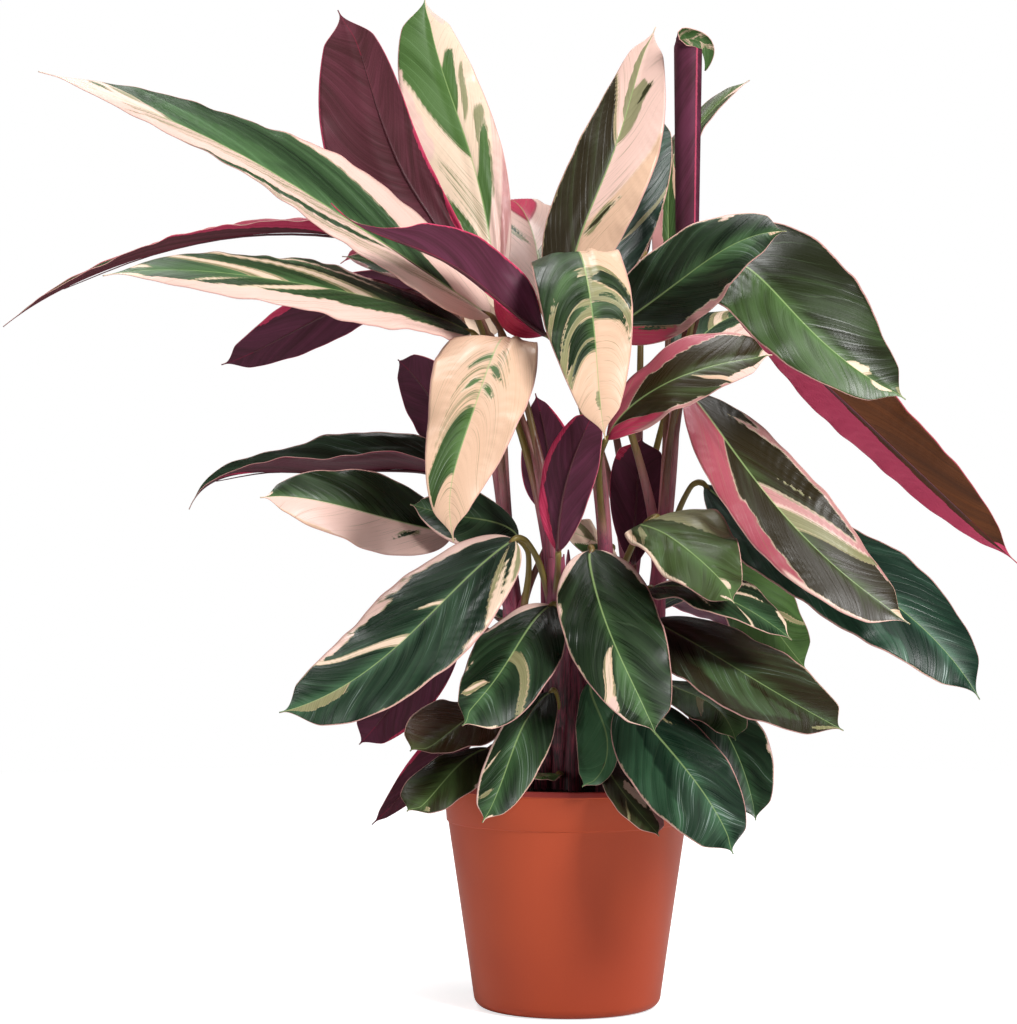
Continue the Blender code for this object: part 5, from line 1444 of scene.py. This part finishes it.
def pot_plastic():
    """Terracotta-coloured plastic: smooth, slightly uneven in tone, and painted darker crimson along its thin
    lip for the light through the thin plastic.
    """
    made, tree, shader = finish_named("pot_plastic")
    place, _, _, height = object_parts(tree)
    cloud = noise(tree, place, 9, 2, 0.5)
    speck = noise(tree, place, 900, 2, 0.6)
    worn = scaled(tree, centred(tree, speck), 0.25, cloud)
    colour = mixed(tree, ramped(tree, worn, 0.3, 0.7, 0, 0.22), POT_CLAY, POT_DARK_RED)
    # Painted light: a darker crimson band along the lip stands for light shining through the thin plastic
    # there.
    lip = ramped(tree, height, POT_HEIGHT - 5 * MM, POT_HEIGHT - 3.5 * MM)
    colour = mixed(tree, lip, colour, POT_DARK_RED)
    fed(tree, shader, "Base Color", colour)
    fed(tree, shader, "Roughness", ramped(tree, worn, 0.3, 0.7, 0.36, 0.48))
    shader.inputs["Specular IOR Level"].default_value = 0.18
    relief_on(tree, shader, speck, 0.0002, 0.15)
    return made


def potting_mix():
    """Damp dark peat with browner fibres."""
    made, tree, shader = finish_named("potting_mix")
    place, _, _, _ = object_parts(tree)
    grain = noise(tree, place, 260, 4, 0.7)
    colour = mixed(tree, ramped(tree, grain, 0.35, 0.7), SOIL_DARK, SOIL_BROWN)
    fed(tree, shader, "Base Color", colour)
    shader.inputs["Roughness"].default_value = 0.92
    shader.inputs["Specular IOR Level"].default_value = 0.2
    relief_on(tree, shader, grain, 0.003, 0.8)
    return made


# Stage

def by_camera(tree, elsewhere, seen):
    """A number for the light that the camera sees, and another for all other light."""
    ray = tree.nodes.new("ShaderNodeLightPath").outputs["Is Camera Ray"]
    return ramped(tree, ray, 0, 1, elsewhere, seen)


def make_floor():
    """A plain white floor that looks as bright as the backdrop."""
    bpy.ops.mesh.primitive_circle_add(
        vertices=96, radius=FLOOR_RADIUS, fill_type="NGON", location=(0, 0, -FLOOR_DROP))
    floor = bpy.context.object
    floor.name = "studio_floor"
    made, tree, shader = finish_named("studio_white")
    shader.inputs["Base Color"].default_value = (0.85, 0.85, 0.85, 1)
    shader.inputs["Roughness"].default_value = 0.9
    shader.inputs["Specular IOR Level"].default_value = 0
    shader.inputs["Emission Color"].default_value = (1, 1, 1, 1)
    fed(tree, shader, "Emission Strength", by_camera(tree, 0, FLOOR_GLOW))
    floor.data.materials.append(made)


def make_light():
    """The white backdrop, which is dim as a light, and the soft lights."""
    world = bpy.data.worlds.new("studio")
    bpy.context.scene.world = world
    world.use_nodes = True
    backdrop = world.node_tree.nodes["Background"]
    backdrop.inputs["Color"].default_value = (1, 1, 1, 1)
    fed(world.node_tree, backdrop, "Strength", by_camera(world.node_tree, SKY_LIGHT, 1))
    for name, place, size, power in LIGHTS:
        light = bpy.data.lights.new(name, "AREA")
        light.size = size
        light.energy = power
        lamp = bpy.data.objects.new(name, light)
        lamp.location = place
        lamp.rotation_euler = (Vector(LIGHTS_AIM) - Vector(place)).to_track_quat("-Z", "Y").to_euler()
        bpy.context.scene.collection.objects.link(lamp)


def make_camera():
    """The camera, level and in front of the plant."""
    camera = bpy.data.cameras.new("camera")
    camera.lens = CAMERA_LENS
    camera.sensor_width = CAMERA_SENSOR
    camera.clip_end = 30
    eye = bpy.data.objects.new("camera", camera)
    eye.location = CAMERA_PLACE
    eye.rotation_euler = (radians(90), 0, 0)
    bpy.context.scene.collection.objects.link(eye)
    bpy.context.scene.camera = eye
    bpy.context.scene.view_settings.view_transform = "Standard"


make_floor()
make_light()
make_camera()
markings = leaf_markings()
make_blades([leaf_upper(markings), leaf_under(markings)])
make_stems(stalk_tree(), stem_bark())
make_pot(pot_plastic())
make_soil(crumb_tree(), potting_mix())
